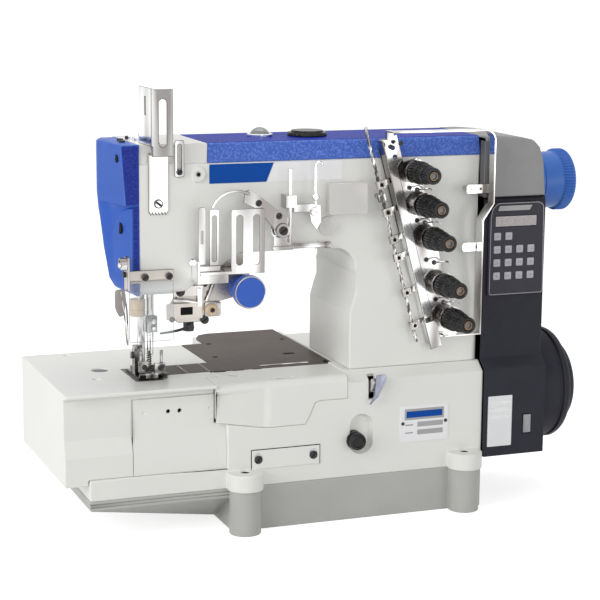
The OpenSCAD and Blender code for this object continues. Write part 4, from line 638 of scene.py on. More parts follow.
# %% [markdown]
# ## What is softened
# Each row is a part, its finish, the radius and the steps of its edges, and its slot. On bent sheet parts the
# rounded strip takes a darker finish, because the cut edge of a sheet is never as bright as its face.
# %% Softened parts
SOFT = [
    ("bed_frame", white_enamel, 1.2, 3, "white_casting"),
    ("arm_frame", white_enamel, 1.5, 3, "white_casting"),
    ("bed_table", white_enamel, 1.2, 3, "white_casting"),
    ("front_cover", white_enamel, 0.5, 2, "white_casting"),
    ("looper_cover", white_enamel, 0.8, 3, "white_casting"),
    ("adjust_cover", white_enamel, 0.4, 2, "white_casting"),
    ("base_pan", grey_enamel, 1.0, 3, "grey_pan"),
    ("top_cover", blue_enamel, 1.2, 3, "blue_cover"),
    ("motor_cover", black_case, 1.5, 3, "black_box"),
    ("cover_cap", grey_cap_finish, 2.0, 4, "grey_cap"),
    ("needle_plate", ground_plate, 0.25, 2, "steel"),
    ("slide_plates", brown_coat, 0.3, 2, "brown_plate"),
    ("cloth_plate", brown_coat, 0.4, 2, "brown_plate"),
    ("spreader_bracket", dull_plate, 0.6, 2, "steel"),
    ("needle_clamp", dark_chrome, 0.3, 2, "steel"),
    ("presser_foot", foot_steel, 0.25, 2, "chrome"),
    ("finger_guard", dull_plate, 0.3, 2, "steel"),
    ("take_up_lever", bright, 0.3, 2, "chrome"),
    ("take_up_guards", bright, 0.3, 2, "steel"),
    ("thread_guides", bright, 0.55, 2, "steel"),
    ("lever_bracket", bright, 0.25, 2, "steel"),
    ("tension_plate", bright, 0.55, 2, "steel"),
    ("guide_rods", wire_steel, 0.3, 2, "chrome"),
    ("strip_guard", bright, 0.3, 2, "steel"),
    ("feed_lever", steel, 0.4, 2, "steel"),
    ("pressure_screw", bright, 0.3, 2, "steel"),
    ("control_panel", panel_film, 0.6, 3, "panel_grey"),
]
SHEETS = {"take_up_lever", "take_up_guards", "thread_guides", "lever_bracket", "tension_plate",
          "finger_guard", "spreader_bracket", "needle_clamp", "presser_foot"}
for node, material, width, segments, slot in SOFT:
    soften(node, material, width, segments, edge_steel if node in SHEETS else None)
print("softened:", len(SOFT))

# %% [markdown]
# ## Painted shade on the lid's top
# The blue lid's top is seen at a low angle and looks deeper than its front. A second, deeper blue paints this
# shade: it goes to the faces whose normal points straight up.
# %% Lid
SHADE_FACING_UP = 0.95
lid = bpy.data.objects["top_cover_soft"].data
lid.materials.append(blue_painted_shade_top)
normals = np.empty(3 * len(lid.polygons), np.float32)
lid.polygons.foreach_get("normal", normals)
# Faces that point straight up take the painted shade.
lid.polygons.foreach_set("material_index", (normals.reshape(-1, 3)[:, 2] > SHADE_FACING_UP).astype(np.int32))
print("lid in two blues")

# %% [markdown]
# ## Screws, holes and grips
# All the small screws are one shape: a chamfered disc with a dark bar for its slot. A hole is a dark disc no
# deeper than a fraction of a millimetre. The grips of knobs and wheels come from a ripple in the radius.
# %% Screws, holes and grips
SLOT_HALF, SLOT_THICK, CHAMFER = 0.86, 0.13, 0.35


def screw_set(name, body, heads, slot_at=0.6):
    """Slotted heads, each (centre, axis, side, radius, height): a chamfered disc, and over it a dark bar
    turned by slot_at radians."""
    discs, bars = [], []
    for centre, axis, side, r, h in heads:
        a, b, c = PLANES[axis]
        at, base = (centre[a], centre[b]), centre[c]
        profile = [(0, 0), (0, r), (h - 0.3, r), (h, r - CHAMFER), (h, 0)]
        discs.append(spin([(base + side * x, y) for x, y in profile], at, axis, 28))
        turn = np.array([[math.cos(slot_at), math.sin(slot_at)], [-math.sin(slot_at), math.cos(slot_at)]])
        bar = oblong(-SLOT_HALF * r, SLOT_HALF * r, -SLOT_THICK * r, SLOT_THICK * r, 0.05 * r) @ turn + at
        ends = sorted((base + side * (h - 0.2), base + side * (h + 0.06)))
        bars.append(slab(bar, axis, *ends, 0.02, 1))
    as_object(name, *join(*discs), dark_steel, body, "steel")
    as_object(name + "_slots", *join(*bars), dark_hole, body)


def facing(heads):
    """Heads that look to the front, from (x, y, z, radius, height)."""
    return [((x, y, z), "Y", -1, r, h) for x, y, z, r, h in heads]


def dots(name, body, spots, material, depth=0.15, n=24):
    """Flat discs, each (centre, axis, radius), that mark holes and plugs."""
    made = []
    for centre, axis, r in spots:
        a, b, c = PLANES[axis]
        outline = disc((centre[a], centre[b]), r, n)
        made.append(slab(outline, axis, centre[c] - depth, centre[c] + depth, 0.05, 1))
    as_object(name, *join(*made), material, body)


def grips(count, depth, least, where=None):
    """Ripple r (1 - depth/2 (1 - cos(count a))) on the part of a profile wider than `least`, and only where
    `where` holds for the distance along the axis."""
    def ripple(a, along, r):
        """The factor that scales the radius r at angle a and distance along."""
        on = r > least if where is None else (r > least) & where(along)
        return 1 - on * depth / 2 * (1 - np.cos(count * a))
    return ripple


print("screws, holes and grips ready")

# %% [markdown]
# ## Tension knobs
# Five ribbed knobs, each over the discs that brake one thread, stand on a line that leans 15 degrees. They
# are alike, so one profile is spun five times. It is a list of (distance along the axis, radius), and its
# bore keeps the clearance to the post.
# %% Knobs
ROW_TOP, ROW_AT = (65.0, 368.0), (0, 36.5, 73, 125, 163.5)
LEAN_COS, LEAN_SIN = 0.9646, 0.2639


def row(s, d):
    """X and Z of a place on the leaning row of tension posts: s down the row, d to its right, in mm."""
    return np.array([ROW_TOP[0] + LEAN_COS * d + LEAN_SIN * s, ROW_TOP[1] + LEAN_SIN * d - LEAN_COS * s])


def on_row(s, d, y):
    """A point (X, Y, Z) on the leaning row."""
    x, z = row(s, d)
    return (float(x), y, float(z))


KNOB = [(-145.2, 5.2), (-146, 6.0), (-146, 7.9), (-145.2, 8.8), (-131.2, 8.9), (-130.4, 9.6), (-129.6, 10.4),
        (-128.6, 10.6), (-119, 10.7), (-118.2, 11.5), (-117.4, 12.1), (-108, 12.2), (-106.5, 11.8),
        (-106.5, 10.9), (-116, 10.9), (-116, 3.05), (-143, 3.05), (-143, 5.0)]
KNOB_END = [(-145.4, 3.15), (-145.6, 3.5), (-145.6, 4.6), (-145.2, 4.9), (-143.1, 4.9), (-143.1, 3.15)]
knob_grip = grips(24, 0.09, 8.0, lambda y: y < -107.9)
for k, s in enumerate(ROW_AT, 1):
    body, shape = f"tension_{k}", spin(KNOB, row(s, 0), "Y", 192, knob_grip, True)
    knob = as_object(f"knob_{k}", *shape, black_gloss, body, "black_knob", 28)
    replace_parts(knob, f"tension_knob_{k}")
    as_object(f"knob_end_{k}", *spin(KNOB_END, row(s, 0), "Y", 40, None, True), brass, body)
print("knobs:", len(ROW_AT))

# %% [markdown]
# ## Handwheel
# The wheel on the right end of the upper shaft turns the machine by hand. Its flutes could be cut one by one;
# a ripple in the radius gives all 64 at once.
# %% Handwheel
WHEEL = [(261, 0), (261, 7.6), (224, 7.6), (224, 29.6), (225.4, 31), (233.5, 31), (234.2, 30.3), (235, 31),
         (255.8, 31), (256.4, 31), (257.2, 32.6), (258.4, 33.9), (267.6, 34), (269.6, 33.2), (271, 31.2),
         (271, 22.8), (270.3, 22), (267.2, 22), (267, 21.6), (267, 11.4), (268.4, 10.6), (268.4, 0)]
wheel_grip = grips(64, 0.05, 32, lambda x: x > 257)
wheel = as_object("handwheel_turned", *spin(WHEEL, (SHAFT_Y, UPPER_Z), "X", 512, wheel_grip), blue_plastic,
                  "upper_drive", "blue_knob", 30)
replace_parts(wheel, "handwheel")
print("handwheel turned")

# %% [markdown]
# ## Motor
# The built-in motor is a short drum on the lower shaft. Rings could be added to a cylinder, but one profile
# gives the drum, the groove and the rings without a joint between them.
# %% Motor
MOTOR = [(258, 0), (258, 7.55), (148.1, 7.55), (148.1, 52.6), (222.05, 52.6), (222.05, 60.6), (223.4, 62),
         (243.4, 62), (244, 61.4), (244, 60), (249, 60), (249, 61.4), (249.6, 62), (253.4, 62), (255.6, 61),
         (257.6, 59.6), (258, 58.8), (258, 51), (259, 50), (264.6, 50), (266, 49), (266, 47), (268.6, 46),
         (270, 44.6), (270, 14), (268.6, 12), (268.6, 0)]
motor = as_object("motor_rings", *spin(MOTOR, (SHAFT_Y, LOWER_Z), "X", 160), black_case, "machine",
                  "black_box", 30)
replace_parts(motor, "motor_housing")
print("motor turned")

# %% [markdown]
# ## Oil cap, oil sight and bush
# The cap closes the oil filler, and the clear dome beside it is the window on the oil. The bush guides the
# presser bar where it leaves the head.
# %% Cap, sight and bush
CAP_AT, SIGHT_AT = (-31, -34), (-81, -26)
CAP = [(398, 0), (398, 12), (402.05, 12), (402.05, 20.2), (402.8, 21), (405.2, 21), (406, 20.2), (406, 17.5),
       (406.4, 17), (407.5, 17), (408, 16.4), (408, 0)]
cap_grip = grips(30, 0.03, 20, lambda z: z < 405.5)
cap = as_object("filler_cap_turned", *spin(CAP, CAP_AT, "Z", 180, cap_grip), black_gloss, "machine",
                "black_knob")
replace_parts(cap, "filler_cap")
RING = [(398, 0), (398, 8), (402.02, 8), (402.02, 13.2), (402.4, 13.5), (404.2, 13.5), (405, 12.8),
        (405, 10.8), (404, 10.4), (404, 0)]
ring = as_object("sight_ring", *spin(RING, SIGHT_AT, "Z", 72), bright, "machine", "chrome")
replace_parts(ring, "oil_sight")
DOME = [(404.05, 0), (404.05, 10.2), (405.6, 10.1), (407.6, 8.9), (409.4, 6.9), (410.8, 4.2), (411.4, 1.8),
        (411.5, 0)]
as_object("sight_dome", *spin(DOME, SIGHT_AT, "Z", 48), sight_glass, "machine", "sight_glass")
BUSH = [(222.6, 0), (222.6, 7.6), (223.2, 8.2), (228.5, 8.3), (229.2, 7.7), (230, 8.3), (239.2, 8.3),
        (240, 7.6), (240, 0)]
as_object("presser_bush", *spin(BUSH, PRESSER_AT, "Z", 64), cream, "presser")
print("cap, sight and bush turned")

# %% [markdown]
# ## Face cover
# The blue cover on the head's end has a ledge and a shallow arch. A stack of level outlines follows both
# better than a cut box could. Along the side face, u runs from 0 at the back corner to 1 at the front one.
# Below the ledge the front corner steps back, and the arch is hollowed under it.
# %% Face cover
COVER_Z = ([250, 254, 263, 299, 324, 349], [-238, -243, -247.0, -249.5, -252.6, -254.8])
COVER_FRONT, COVER_LOWER = ([343, 402], [-241.8, -246.4]), -235.6
ARCH_SPAN, ARCH_FOOT, ARCH_RISE, ARCH_DEPTH = 0.66, 302, 37, 3.4
CORNER_U, COVER_BACK = 0.965, -228.0


def face_side(u, z):
    """X of the side face: a line from back to front corner, the lower one set in, plus the arch's hollow."""
    back = np.interp(z, *COVER_Z)
    upper = back + u * (np.interp(z, *COVER_FRONT) - back)
    lower = back + u * (COVER_LOWER - back)
    below = 1 - smooth(z, 340.4 - 26 * (1 - u) ** 2, 341.6)
    round_arch = ((1 - u) / ARCH_SPAN) ** 2 + (np.maximum(z - ARCH_FOOT, 0) / ARCH_RISE) ** 2
    hollow = ARCH_DEPTH * smooth(round_arch, 0.94, 1.05) * (1 - smooth(z, 340.2, 341.6)) * smooth(z, 262, 330)
    fade = smooth(u, 0.0, 0.3)
    return upper + below * (lower - upper) + hollow * fade


def face_shell():
    """Closed outlines over z, set in near the bottom and the top. Each runs along the back, then along the
    side face, whose Y goes in a line from the back corner to the front, then along the front."""
    z = np.concatenate([[250.0, 250.4, 251.4], np.arange(253, 337, 2.0), np.arange(337, 344, 0.5),
                        np.arange(345, 399, 3.0), [399.5, 401.0, 401.8, 402.0]])[:, None]
    inset = np.interp(z, [250, 251.4, 254, 399, 401, 402], [4.5, 2.0, 0, 0, 0.6, 1.8])
    u = np.linspace(0, 1, 64)[None, :]
    side_x = face_side(u, z) + inset + smooth(u, CORNER_U, 1.0)
    back_x = np.concatenate([np.full((len(z), 2), COVER_BACK), side_x[:, :1] + 9, side_x[:, :1] + 2.2], 1)
    back_y = np.interp(z, [250, 262, 300, 331, 402], [-44, -34, -18, 4, 6])
    start = np.minimum(back_y - 2, -22)
    side_y = start + np.where(u > CORNER_U, 1.0, u) * (ARM_FRONT - start)
    back_y = np.concatenate([back_y - 30, back_y, back_y - 1.5, (back_y - 22) / 2 - 1], 1)
    front_x = np.stack([side_x[:, -1] + 1.6, np.full(len(z), -229.2), np.full(len(z), COVER_BACK)], -1)
    front_y = np.broadcast_to([ARM_FRONT, ARM_FRONT, -82.6], front_x.shape)
    x = np.concatenate([back_x, side_x, front_x], 1)
    y = np.concatenate([back_y, side_y, front_y], 1)
    return loft(np.stack([x, y, np.broadcast_to(z, x.shape)], -1))


cover = as_object("face_cover_shell", *face_shell(), blue_smooth, "machine", "blue_cover", 50)
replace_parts(cover, "face_cover")
print("face cover with ledge and arch")

# %% [markdown]
# ## Front of the face cover
# From the front the cover shows two narrow strips, darker than its side. They are thin slabs over it in a
# deeper blue that paints this shade, so that the shell keeps one finish. Three dark discs mark its holes.
# %% Face strips and holes
STRIP = [(-246.0, 400.6), (-229.0, 400.6), (-229.0, 342.4), (-241.6, 342.4)]
LOWER = [(-234.6, 341.2), (-229.0, 341.2), (-229.0, 254), (-234.4, 254)]
# The strips carry painted shade.
for name, outline, front in (("face_front_strip", STRIP, -83.25), ("face_lower_strip", LOWER, -83.2)):
    as_object(name, *slab(fillet(outline, 0.5, 3), "Y", front, -82.9, 0.1, 1), blue_painted_shade_front, "machine")
holes = [((float(face_side(u, z)) + 0.1, -22 - 61 * u, z), "X", r)
         for u, z, r in ((0.78, 388.0, 4.2), (0.62, 316.5, 6.0), (0.30, 268.0, 5.0))]
dots("face_holes", "machine", holes, dark_hole, 0.6, 40)
print("strips and", len(holes), "holes")

# %% [markdown]
# ## Fields on the arm and the nameplate
# A label or a stamped plate is a film of its own with a clean edge. Painting it on the casting would need a
# texture, so each field is a thin slab set on its face or into its recess. All of them are left bare.
# %% Fields


def node_box(node):
    """Lowest and highest corner of a node of the frame, in millimetres."""
    low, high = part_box(node)
    return np.array(low) / MM, np.array(high) / MM


def field(name, corners, y0, y1, material, slot=None, radius=0.6):
    """A thin slab facing front, from an outline in X and Z."""
    return as_object(name, *slab(fillet(corners, radius, 3), "Y", y0, y1, 0.06, 1), material, "machine", slot)


def block(x0, x1, z0, z1):
    """The four corners of a rectangle."""
    return [(x0, z0), (x1, z0), (x1, z1), (x0, z1)]


(x, _, low), (_, _, top) = node_box("arm_labels")
blue_field = [(x, low), (x + 61, low), (x + 69, top), (x, top)]
pale_field = [(x + 62, low), (x + 144, low), (x + 144, top), (x + 70, top)]
for name, outline, material, slot in (("arm_field_blue", blue_field, label_blue, "label_blue"),
                                      ("arm_field_pale", pale_field, label_white, None)):
    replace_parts(field(name, outline, ARM_FRONT - 0.4, ARM_FRONT, material, slot), "arm_labels")

x, z = node_box("nameplate")[0][[0, 2]]
sheet = block(x, x + 56, z, z + 39)
plate = field("nameplate_sheet", sheet, BED_FRONT - 0.8, BED_FRONT, label_white, "plate_metal")
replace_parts(plate, "nameplate")
field("nameplate_band", block(x + 5, x + 51, z + 24, z + 36), -104.95, -104.7, grey_film)
field("nameplate_blue", block(x + 7, x + 49, z + 26.4, z + 33.4), -105.02, -104.9, label_blue)
for k, low in enumerate((z + 16, z + 7.4)):
    field(f"nameplate_row_{k}", block(x + 20, x + 50, low, low + 5.4), -104.95, -104.7, grey_film)
    field(f"nameplate_mark_{k}", block(x + 6, x + 15, low + 1.8, low + 3.2), -104.92, -104.7, ink, None, 0.3)
print("fields of the arm and the nameplate")

# %% [markdown]
# ## Keypad
# The control panel has rows of membrane keys, pale on a dark film. Two loops place them at even steps, and
# their signs are left as plain dots, bars and triangles.
# %% Keys
KEY_X, KEY_Z, KEY_DX, KEY_DZ = 163.0, 295.0, 13.5, -14.3
KEYS_IN_ROW, KEY_HALF = (2, 4, 4, 4), 4.0
keys, marks = [], []
for r, count in enumerate(KEYS_IN_ROW):
    for c in range(count):
        x, z = KEY_X + KEY_DX * c, KEY_Z + KEY_DZ * r
        cap_shape = oblong(x - KEY_HALF, x + KEY_HALF, z - KEY_HALF, z + KEY_HALF, 1.0, 3)
        keys.append(slab(cap_shape, "Y", PANEL_FRONT - 0.6, PANEL_FRONT, 0.15, 2))
        shape = (disc((x, z), 1.4, 20), oblong(x - 2.0, x + 2.0, z - 0.6, z + 0.6, 0.2, 2),
                 np.array([(x - 1.7, z - 1.2), (x + 1.7, z - 1.2), (x, z + 1.7)]))[(r + c) % 3]
        marks.append(slab(shape, "Y", -99.7, -99.55, 0.03, 1))
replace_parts(as_object("keys", *join(*keys), key_film, "machine", "key_grey"), "keypad")
as_object("key_marks", *join(*marks), ink, "machine")
print("keys:", len(keys))

# %% [markdown]
# ## Display and box
# The display is a grey window with eight paler cells. Thin slabs on the box stand for its sticker and its
# window. The cap over the panel has painted shade, a darker grey on its left strip and on its side, and a
# dark gap under it.
# %% Display and box
field("display", block(160.6, 209.4, 305.6, 316.4), -98.95, -98.15, display_glass, None, 0.8)
field("panel_strip", [(163, 322.3), (201, 322.3), (204, 327.8), (165, 327.8)], -99.06, -98.4, grey_film)
cells = [slab(oblong(x, x + 3.2, 308.4, 313.6, 0.3, 2), "Y", -99.02, -98.9, 0.02, 1)
         for x in 164 + 5.2 * np.arange(8)]
as_object("display_cells", *join(*cells), cell_film, "machine")
field("box_sticker", block(153, 182, 66, 122), BOX_FRONT - 0.2, BOX_FRONT + 0.1, pale_film, None, 0.8)
for k, low in enumerate((112, 104, 96)):
    field(f"sticker_row_{k}", block(156, 179, low, low + 4.5), -108.3, -108.15, plate_metal, None, 0.3)
field("box_window", block(196.4, 205.6, 78.5, 98.5), -107.6, -107.0, ink, None, 0.5)
# Painted shade on the cap's left strip.
field("cap_left_painted_shade", block(148.4, 156.5, 337.4, 397), -96.3, -95.9, cap_painted_shade, None, 1.0)
field("cap_gap", block(148.6, 218, 334.6, 337.1), -95.9, -95.2, dark_hole, None, 0.3)
# Painted shade on the cap's side wall.
side = fillet(block(-95.8, -83.2, 337.5, 397.5), 0.5, 2)
as_object("cap_side_painted_shade", *slab(side, "X", 148.05, 149.0, 0.1, 1), cap_painted_shade, "machine")
# Painted highlight: a pale grey wire round the dark panel stands for the light caught on its edge.
rim = [(155, 232), (219, 232), (217.6, 327), (213, 330.4), (163, 330.4), (157, 325), (155, 316)]
rim = place(resample(fillet(rim, 2.5, 4), 160), PANEL_FRONT, "Y")
as_object("panel_rim_painted_highlight", *wire(rim, 0.45, 8, True), ink, "machine")
print("display with", len(cells), "cells, box and cap")

# %% [markdown]
# ## Twisted wires
# Everything by the knobs follows their slope, so each place is found with `row(s, d)`. Two wires wind round
# the guide rod. A twisted texture would look flat from the side, so each wire is a tube along a helix.
# %% Twisted wires
WIRE_D, ROD_Y = -42, -97.6


def helix(start, end, radius, turns, phase=0.0, n=220):
    """A path that winds round the line from start to end: point = line + r (cos t, sin t) square to it."""
    a, b = np.asarray(start, float), np.asarray(end, float)
    along = (b - a) / np.linalg.norm(b - a)
    u = np.cross(along, [0, 1.0, 0])
    u /= np.linalg.norm(u)
    v = np.cross(along, u)
    t = np.linspace(0, 1, n)[:, None]
    w = 2 * math.pi * turns * t + phase
    return a + (b - a) * t + radius * (np.cos(w) * u + np.sin(w) * v)


top_end, low_end = on_row(-60.5, WIRE_D, ROD_Y), on_row(176.5, WIRE_D, ROD_Y)
pair = [wire(helix(top_end, low_end, 1.25, 17, phase, 420), 0.75, 8) for phase in (0.0, math.pi)]
as_object("twisted_wires", *join(*pair), wire_steel, "machine", "chrome")
print("twisted wires")

# %% [markdown]
# ## Eyelets
# Each thread passes a ring with a rounded lip, so that no edge can cut it. The lip is a spun profile, the
# plate behind it a slab, and the hole a dark disc inside the lip.
# %% Eyelets
EYELETS = (1, 31, 61, 81, 120, 157)
EYELET_RIM = [(-104.4, 1.7), (-105.3, 2.0), (-105.6, 2.5), (-105.3, 3.1), (-104.4, 3.3)]
squares, rims, holes = [], [], []
for s in EYELETS:
    flat = [row(s + a, WIRE_D + b) for a, b in ((-4.3, -4.8), (-4.3, 4.8), (4.3, 4.8), (4.3, -4.8))]
    squares.append(slab(fillet(flat, 0.8, 3), "Y", -104.5, -103.9, 0.15, 2))
    rims.append(spin(EYELET_RIM, row(s, WIRE_D), "Y", 32, None, True))
    holes.append(slab(disc(row(s, WIRE_D), 1.75, 20), "Y", -104.75, -104.45, 0.03, 1))
as_object("eyelet_plates", *join(*squares), dull_plate, "machine")
as_object("eyelet_rims", *join(*rims), bright, "machine")
as_object("eyelet_holes", *join(*holes), dark_hole, "machine")
print("eyelets:", len(EYELETS))

# %% [markdown]
# ## Check springs
# Between the knobs a short hooked wire takes up the slack of each thread, and a screw holds it at its root.
# Four points and a radius are enough for such a wire. The dark slab beside them is painted shade for the
# shadowed channel in the plate.
# %% Check springs
SPRING_AT = (18.3, 54.7, 99, 144)
places = [(-34, -10, 1.4), (-34, -22, 1.4)] + [(s, -4, 1.6) for s in SPRING_AT]
screw_set("tension_screws", "machine", facing([(*on_row(s, d, PLATE_FRONT), 2.6, h) for s, d, h in places]))
hooks = []
for s in SPRING_AT:
    path = [on_row(s, -4, -103.2), on_row(s + 1, 3, -106), on_row(s + 2, 9, -107), on_row(s + 6, 12, -105)]
    hooks.append(wire(curve(path, 24, 2.0), 0.8, 8))
as_object("check_springs", *join(*hooks), wire_steel, "machine")
# Painted shade: a dark slab over the channel beside the row.
channel = np.array([row(s, d) for s, d in ((-32, -27.6), (-32, -17.5), (170, -17.5), (170, -27.6))])
as_object("channel_painted_shade", *slab(channel, "Y", -84.2, -83.1, 0.1, 1), dark_steel, "machine")
print("check springs:", len(SPRING_AT))

# %% [markdown]
# ## Guard, nut and thread wire
# Small hardware gives the needle area its look. A fluted nut holds the clear guard, a smoked disc leads the
# threads, and a bent wire keeps fingers away from the needles. Each is one move: spun, pushed or carried.
# %% Guard hardware
guard_heads = facing([(-224.0, -89.4, 270.0, 3.4, 1.2), (-199.0, -89.4, 270.0, 3.4, 1.2)])
screw_set("guard_screws", "machine", guard_heads + [((-244.5, -86.6, 273.5), "X", -1, 2.9, 2.4)])
NUT = [(-252.6, 0), (-252.6, 2.2), (-251.8, 3.0), (-250.6, 3.2), (-250.2, 4.8), (-248.4, 5.6), (-245, 5.6),
       (-245, 0)]
as_object("guard_nut", *spin(NUT, (-92, 284), "X", 60, grips(8, 0.12, 4)), bright, "machine", "chrome")
GUIDE = [(-255.5, 259), (-245.0, 259), (-244.0, 246), (-246.5, 232), (-251.0, 231), (-255.5, 240)]
as_object("thread_disc", *slab(fillet(GUIDE, 3.5, 6), "Y", -88.4, -86.9, 0.5, 3), smoke, "machine")
loop = curve([(-249.5, -87.6, 258), (-247.5, -88.5, 245), (-245, -87, 228), (-242.5, -84, 205),
              (-240.5, -80, 199), (-239, -77, 206), (-240, -76, 236), (-243, -80, 252)], 90, 5)
as_object("finger_wire", *wire(loop, 0.75, 10), wire_steel, "machine", "chrome")
screw_set("head_screws", "machine", facing([
    (-208.8, -85.5, 342.8, 4.3, 1.2), (-187.2, -86.0, 374.0, 2.9, 1.6), (-185.0, -78.2, 251.6, 4.8, 3.0),
    (-158.9, -78.2, 221.0, 4.4, 2.4), (-158.1, -78.2, 257.5, 2.4, 1.6), (-154.0, -78.2, 248.4, 2.4, 1.6),
    (-194.2, -80.4, 223.5, 2.8, 1.4)]))
print("guard hardware")

# %% [markdown]
# ## Spreader bracket and roller
# The bracket beside the needles is layered from small flat plates with two bars across, and a roller hangs
# at its end. The plates differ only in size, so one helper makes them all.
# %% Spreader and roller


def tile(x0, x1, z0, z1, y0, y1, r=1.0, edge=0.4, steps=2):
    """A small upright plate: a rounded rectangle in X and Z, pushed from y0 to y1."""
    return slab(oblong(x0, x1, z0, z1, r), "Y", y0, y1, edge, steps)


as_object("spreader_block", *tile(-192, -160, 246.6, 257.4, -80.5, -78.0, 1.2), steel, "machine")
as_object("spreader_plate", *tile(-199.5, -161.5, 223.2, 239.6, -80.8, -79.0, 1.4), dull_plate, "machine")
window = tile(-185, -172, 227.5, 235.5, -80.95, -80.6, 0.8, 0.05, 1)
as_object("spreader_window", *window, dark_hole, "machine")
bar = curve([(-193, -82.2, 243.6), (-180, -82.2, 242.4), (-168, -82.2, 240.2)], 20, 3)
tilted = curve([(-149.6, -80.4, 259.0), (-153, -80.4, 250.0), (-157.5, -80.4, 240.5)], 20, 3)
as_object("spreader_bars", *join(wire(bar, 1.5, 12), wire(tilted, 1.8, 12)), bright, "machine", "chrome")
as_object("spreader_clamp", *tile(-167.2, -162.4, 236, 254.6, -82.6, -79.4), bright, "machine")
ROLLER = [(-86, 0), (-86, 5.4), (-85.2, 6.2), (-84.2, 5.6), (-82.4, 5.6), (-81.4, 6.2), (-80.6, 5.4),
          (-80.6, 0)]
as_object("roller", *spin(ROLLER, (-152.6, 231.8), "Y", 48), cream, "machine")
as_object("roller_plate", *tile(-159, -141.5, 224, 239.5, -80.5, -78.2, 3.0), steel, "machine")
screw_set("roller_screw", "machine", facing([(-152.6, -86.0, 231.8, 2.4, 1.0)]))
print("spreader and roller")

# %% [markdown]
# ## Presser foot hardware
# Blocks, posts and a spring carry the sole of the foot. They ride on the presser, so they lift with it. The
# spring is a helix again, this time round an upright line.
# %% Presser foot
screw_set("foot_screws", "presser", [((-227.0, -52.0, 184.0), "X", -1, 3.0, 1.8)])
BLOCKS = ((-225, -214, 167, 179), (-208.5, -197, 165.5, 176), (-218, -205, 160.6, 166))
as_object("foot_blocks", *join(*[tile(*sides, -67.0, -62.5) for sides in BLOCKS]), foot_steel, "presser")
POST = [(163, 0), (163, 1.6), (188.5, 1.6), (189.3, 1.0), (189.3, 0)]
posts = [spin(POST, at, "Z", 20) for at in ((-222.0, -63.5), (-200.5, -63.5), (-214.0, -65.0))]
as_object("foot_posts", *join(*posts), foot_steel, "presser")
screw_set("foot_front_screws", "presser", facing([
    (-219.5, -67.0, 173.0, 2.7, 1.2), (-202.8, -67.0, 171.0, 2.7, 1.2), (-211.5, -67.0, 163.2, 1.9, 1.0)]))
coil = helix((-214, -65, 166), (-214, -65, 187), 2.3, 9)
as_object("foot_spring", *wire(coil, 0.45, 6), dark_steel, "presser")
print("presser foot hardware")

# %% [markdown]
# ## Front and top of the arm
# A frosted box and a disc stand before the arm, the dial has a steel ring round its edge, and the head's top
# has a few screws and a block. They have simple forms, so plain slabs and spun rings are enough.
# %% Arm details
RIM = [(-113.6, 15.4), (-114.0, 15.8), (-113.8, 16.5), (-112.6, 16.8), (-111.6, 16.6), (-111.6, 15.4)]
as_object("dial_ring", *spin(RIM, (-121, 253), "Y", 96, None, True), dull_plate, "adjust_dial", "chrome")
dots("boss_hole", "machine", [((-167.0, -86.1, 371.0), "Y", 1.8)], dark_hole)
as_object("clear_box", *tile(-28.5, 14.5, 325.0, 358.0, -95.0, -83.6, 3.0, 1.2, 3), frosted, "machine",
          "clear_shield")
as_object("clear_disc", *slab(disc((-27.0, 313.0), 9.8, 48), "Y", -88.4, -83.6, 0.8, 3), frosted, "machine")
TOP_SEAT = ARM_TOP - 0.2
screw_set("top_screws", "machine", [((x, y, TOP_SEAT), "Z", 1, r, h) for x, y, r, h in (
    (-237.0, -52.0, 3.2, 2.4), (-234.0, -34.0, 3.2, 2.4), (-222.5, -22.0, 3.0, 3.6))])
top_block = slab(oblong(-224, -207, -33, -27, 1.0), "Z", TOP_SEAT, 409.0, 0.5, 2)
as_object("top_block", *top_block, bright, "machine", "chrome")
print("arm details")

# %% [markdown]
# ## Take-up
# The screws of the swinging lever ride on it and are sunk into its face, so they pass behind the guards. The
# head of its pivot stays with the machine. A thin grey wire draws the edge of the clear shield.
# %% Take-up screws
lever_y = node_box("take_up_lever")[0][1]
screw_set("take_up_screws", "take_up", facing([(-109, lever_y + 2.1, 342, 3.3, 0.45),
                                               (-87, lever_y + 2.1, 328, 3.3, 0.45)]))
screw_set("take_up_stud", "machine", facing([(-83, lever_y + 0.1, 313, 4.6, 1.4)]))
edge = place(resample(oblong(-240.8, -195.2, 204.2, 266.0, 2.0), 160), -88.9, "Y")
as_object("shield_edge", *wire(edge, 0.3, 8, True), grey_film, "machine")
print("take-up screws and the shield's edge")

# %% [markdown]
# ## Holes, plugs and rivets of the bed
# The plates on the bed have small holes, an iron plug fills a larger one, the nameplate has two rivets, and
# each foot of the bed has the hole of its bolt. As flat discs they cost little and never cut into a casting.
# %% Bed holes
plate_z = BED_TOP + 0.02
HOLES_AT = ((-100.3, 87.6), (-114.7, 20.7), (-12.4, 87.0), (-8.5, -36.0))
dots("plate_holes", "machine", [((x, y, plate_z), "Z", 3.0) for x, y in HOLES_AT], dark_hole, 0.06)
dots("bed_plug", "machine", [((-248.8, -1.0, 156.2), "Z", 8.4)], cast_iron, 0.6, 48)
rivets = [((x, -105.0, 99.5), "Y", 1.9) for x in (54.0, 104.0)]
dots("nameplate_rivets", "machine", rivets, dark_steel, 0.3)
feet = [((x, y, PAN_TOP + FOOT_PAD - 1.5), "Z", 4.2) for x in BOLTS_X for y in BOLTS_Y]
dots("foot_holes", "machine", feet, dark_hole, 0.3, 32)
print("bed: holes, plug, rivets")

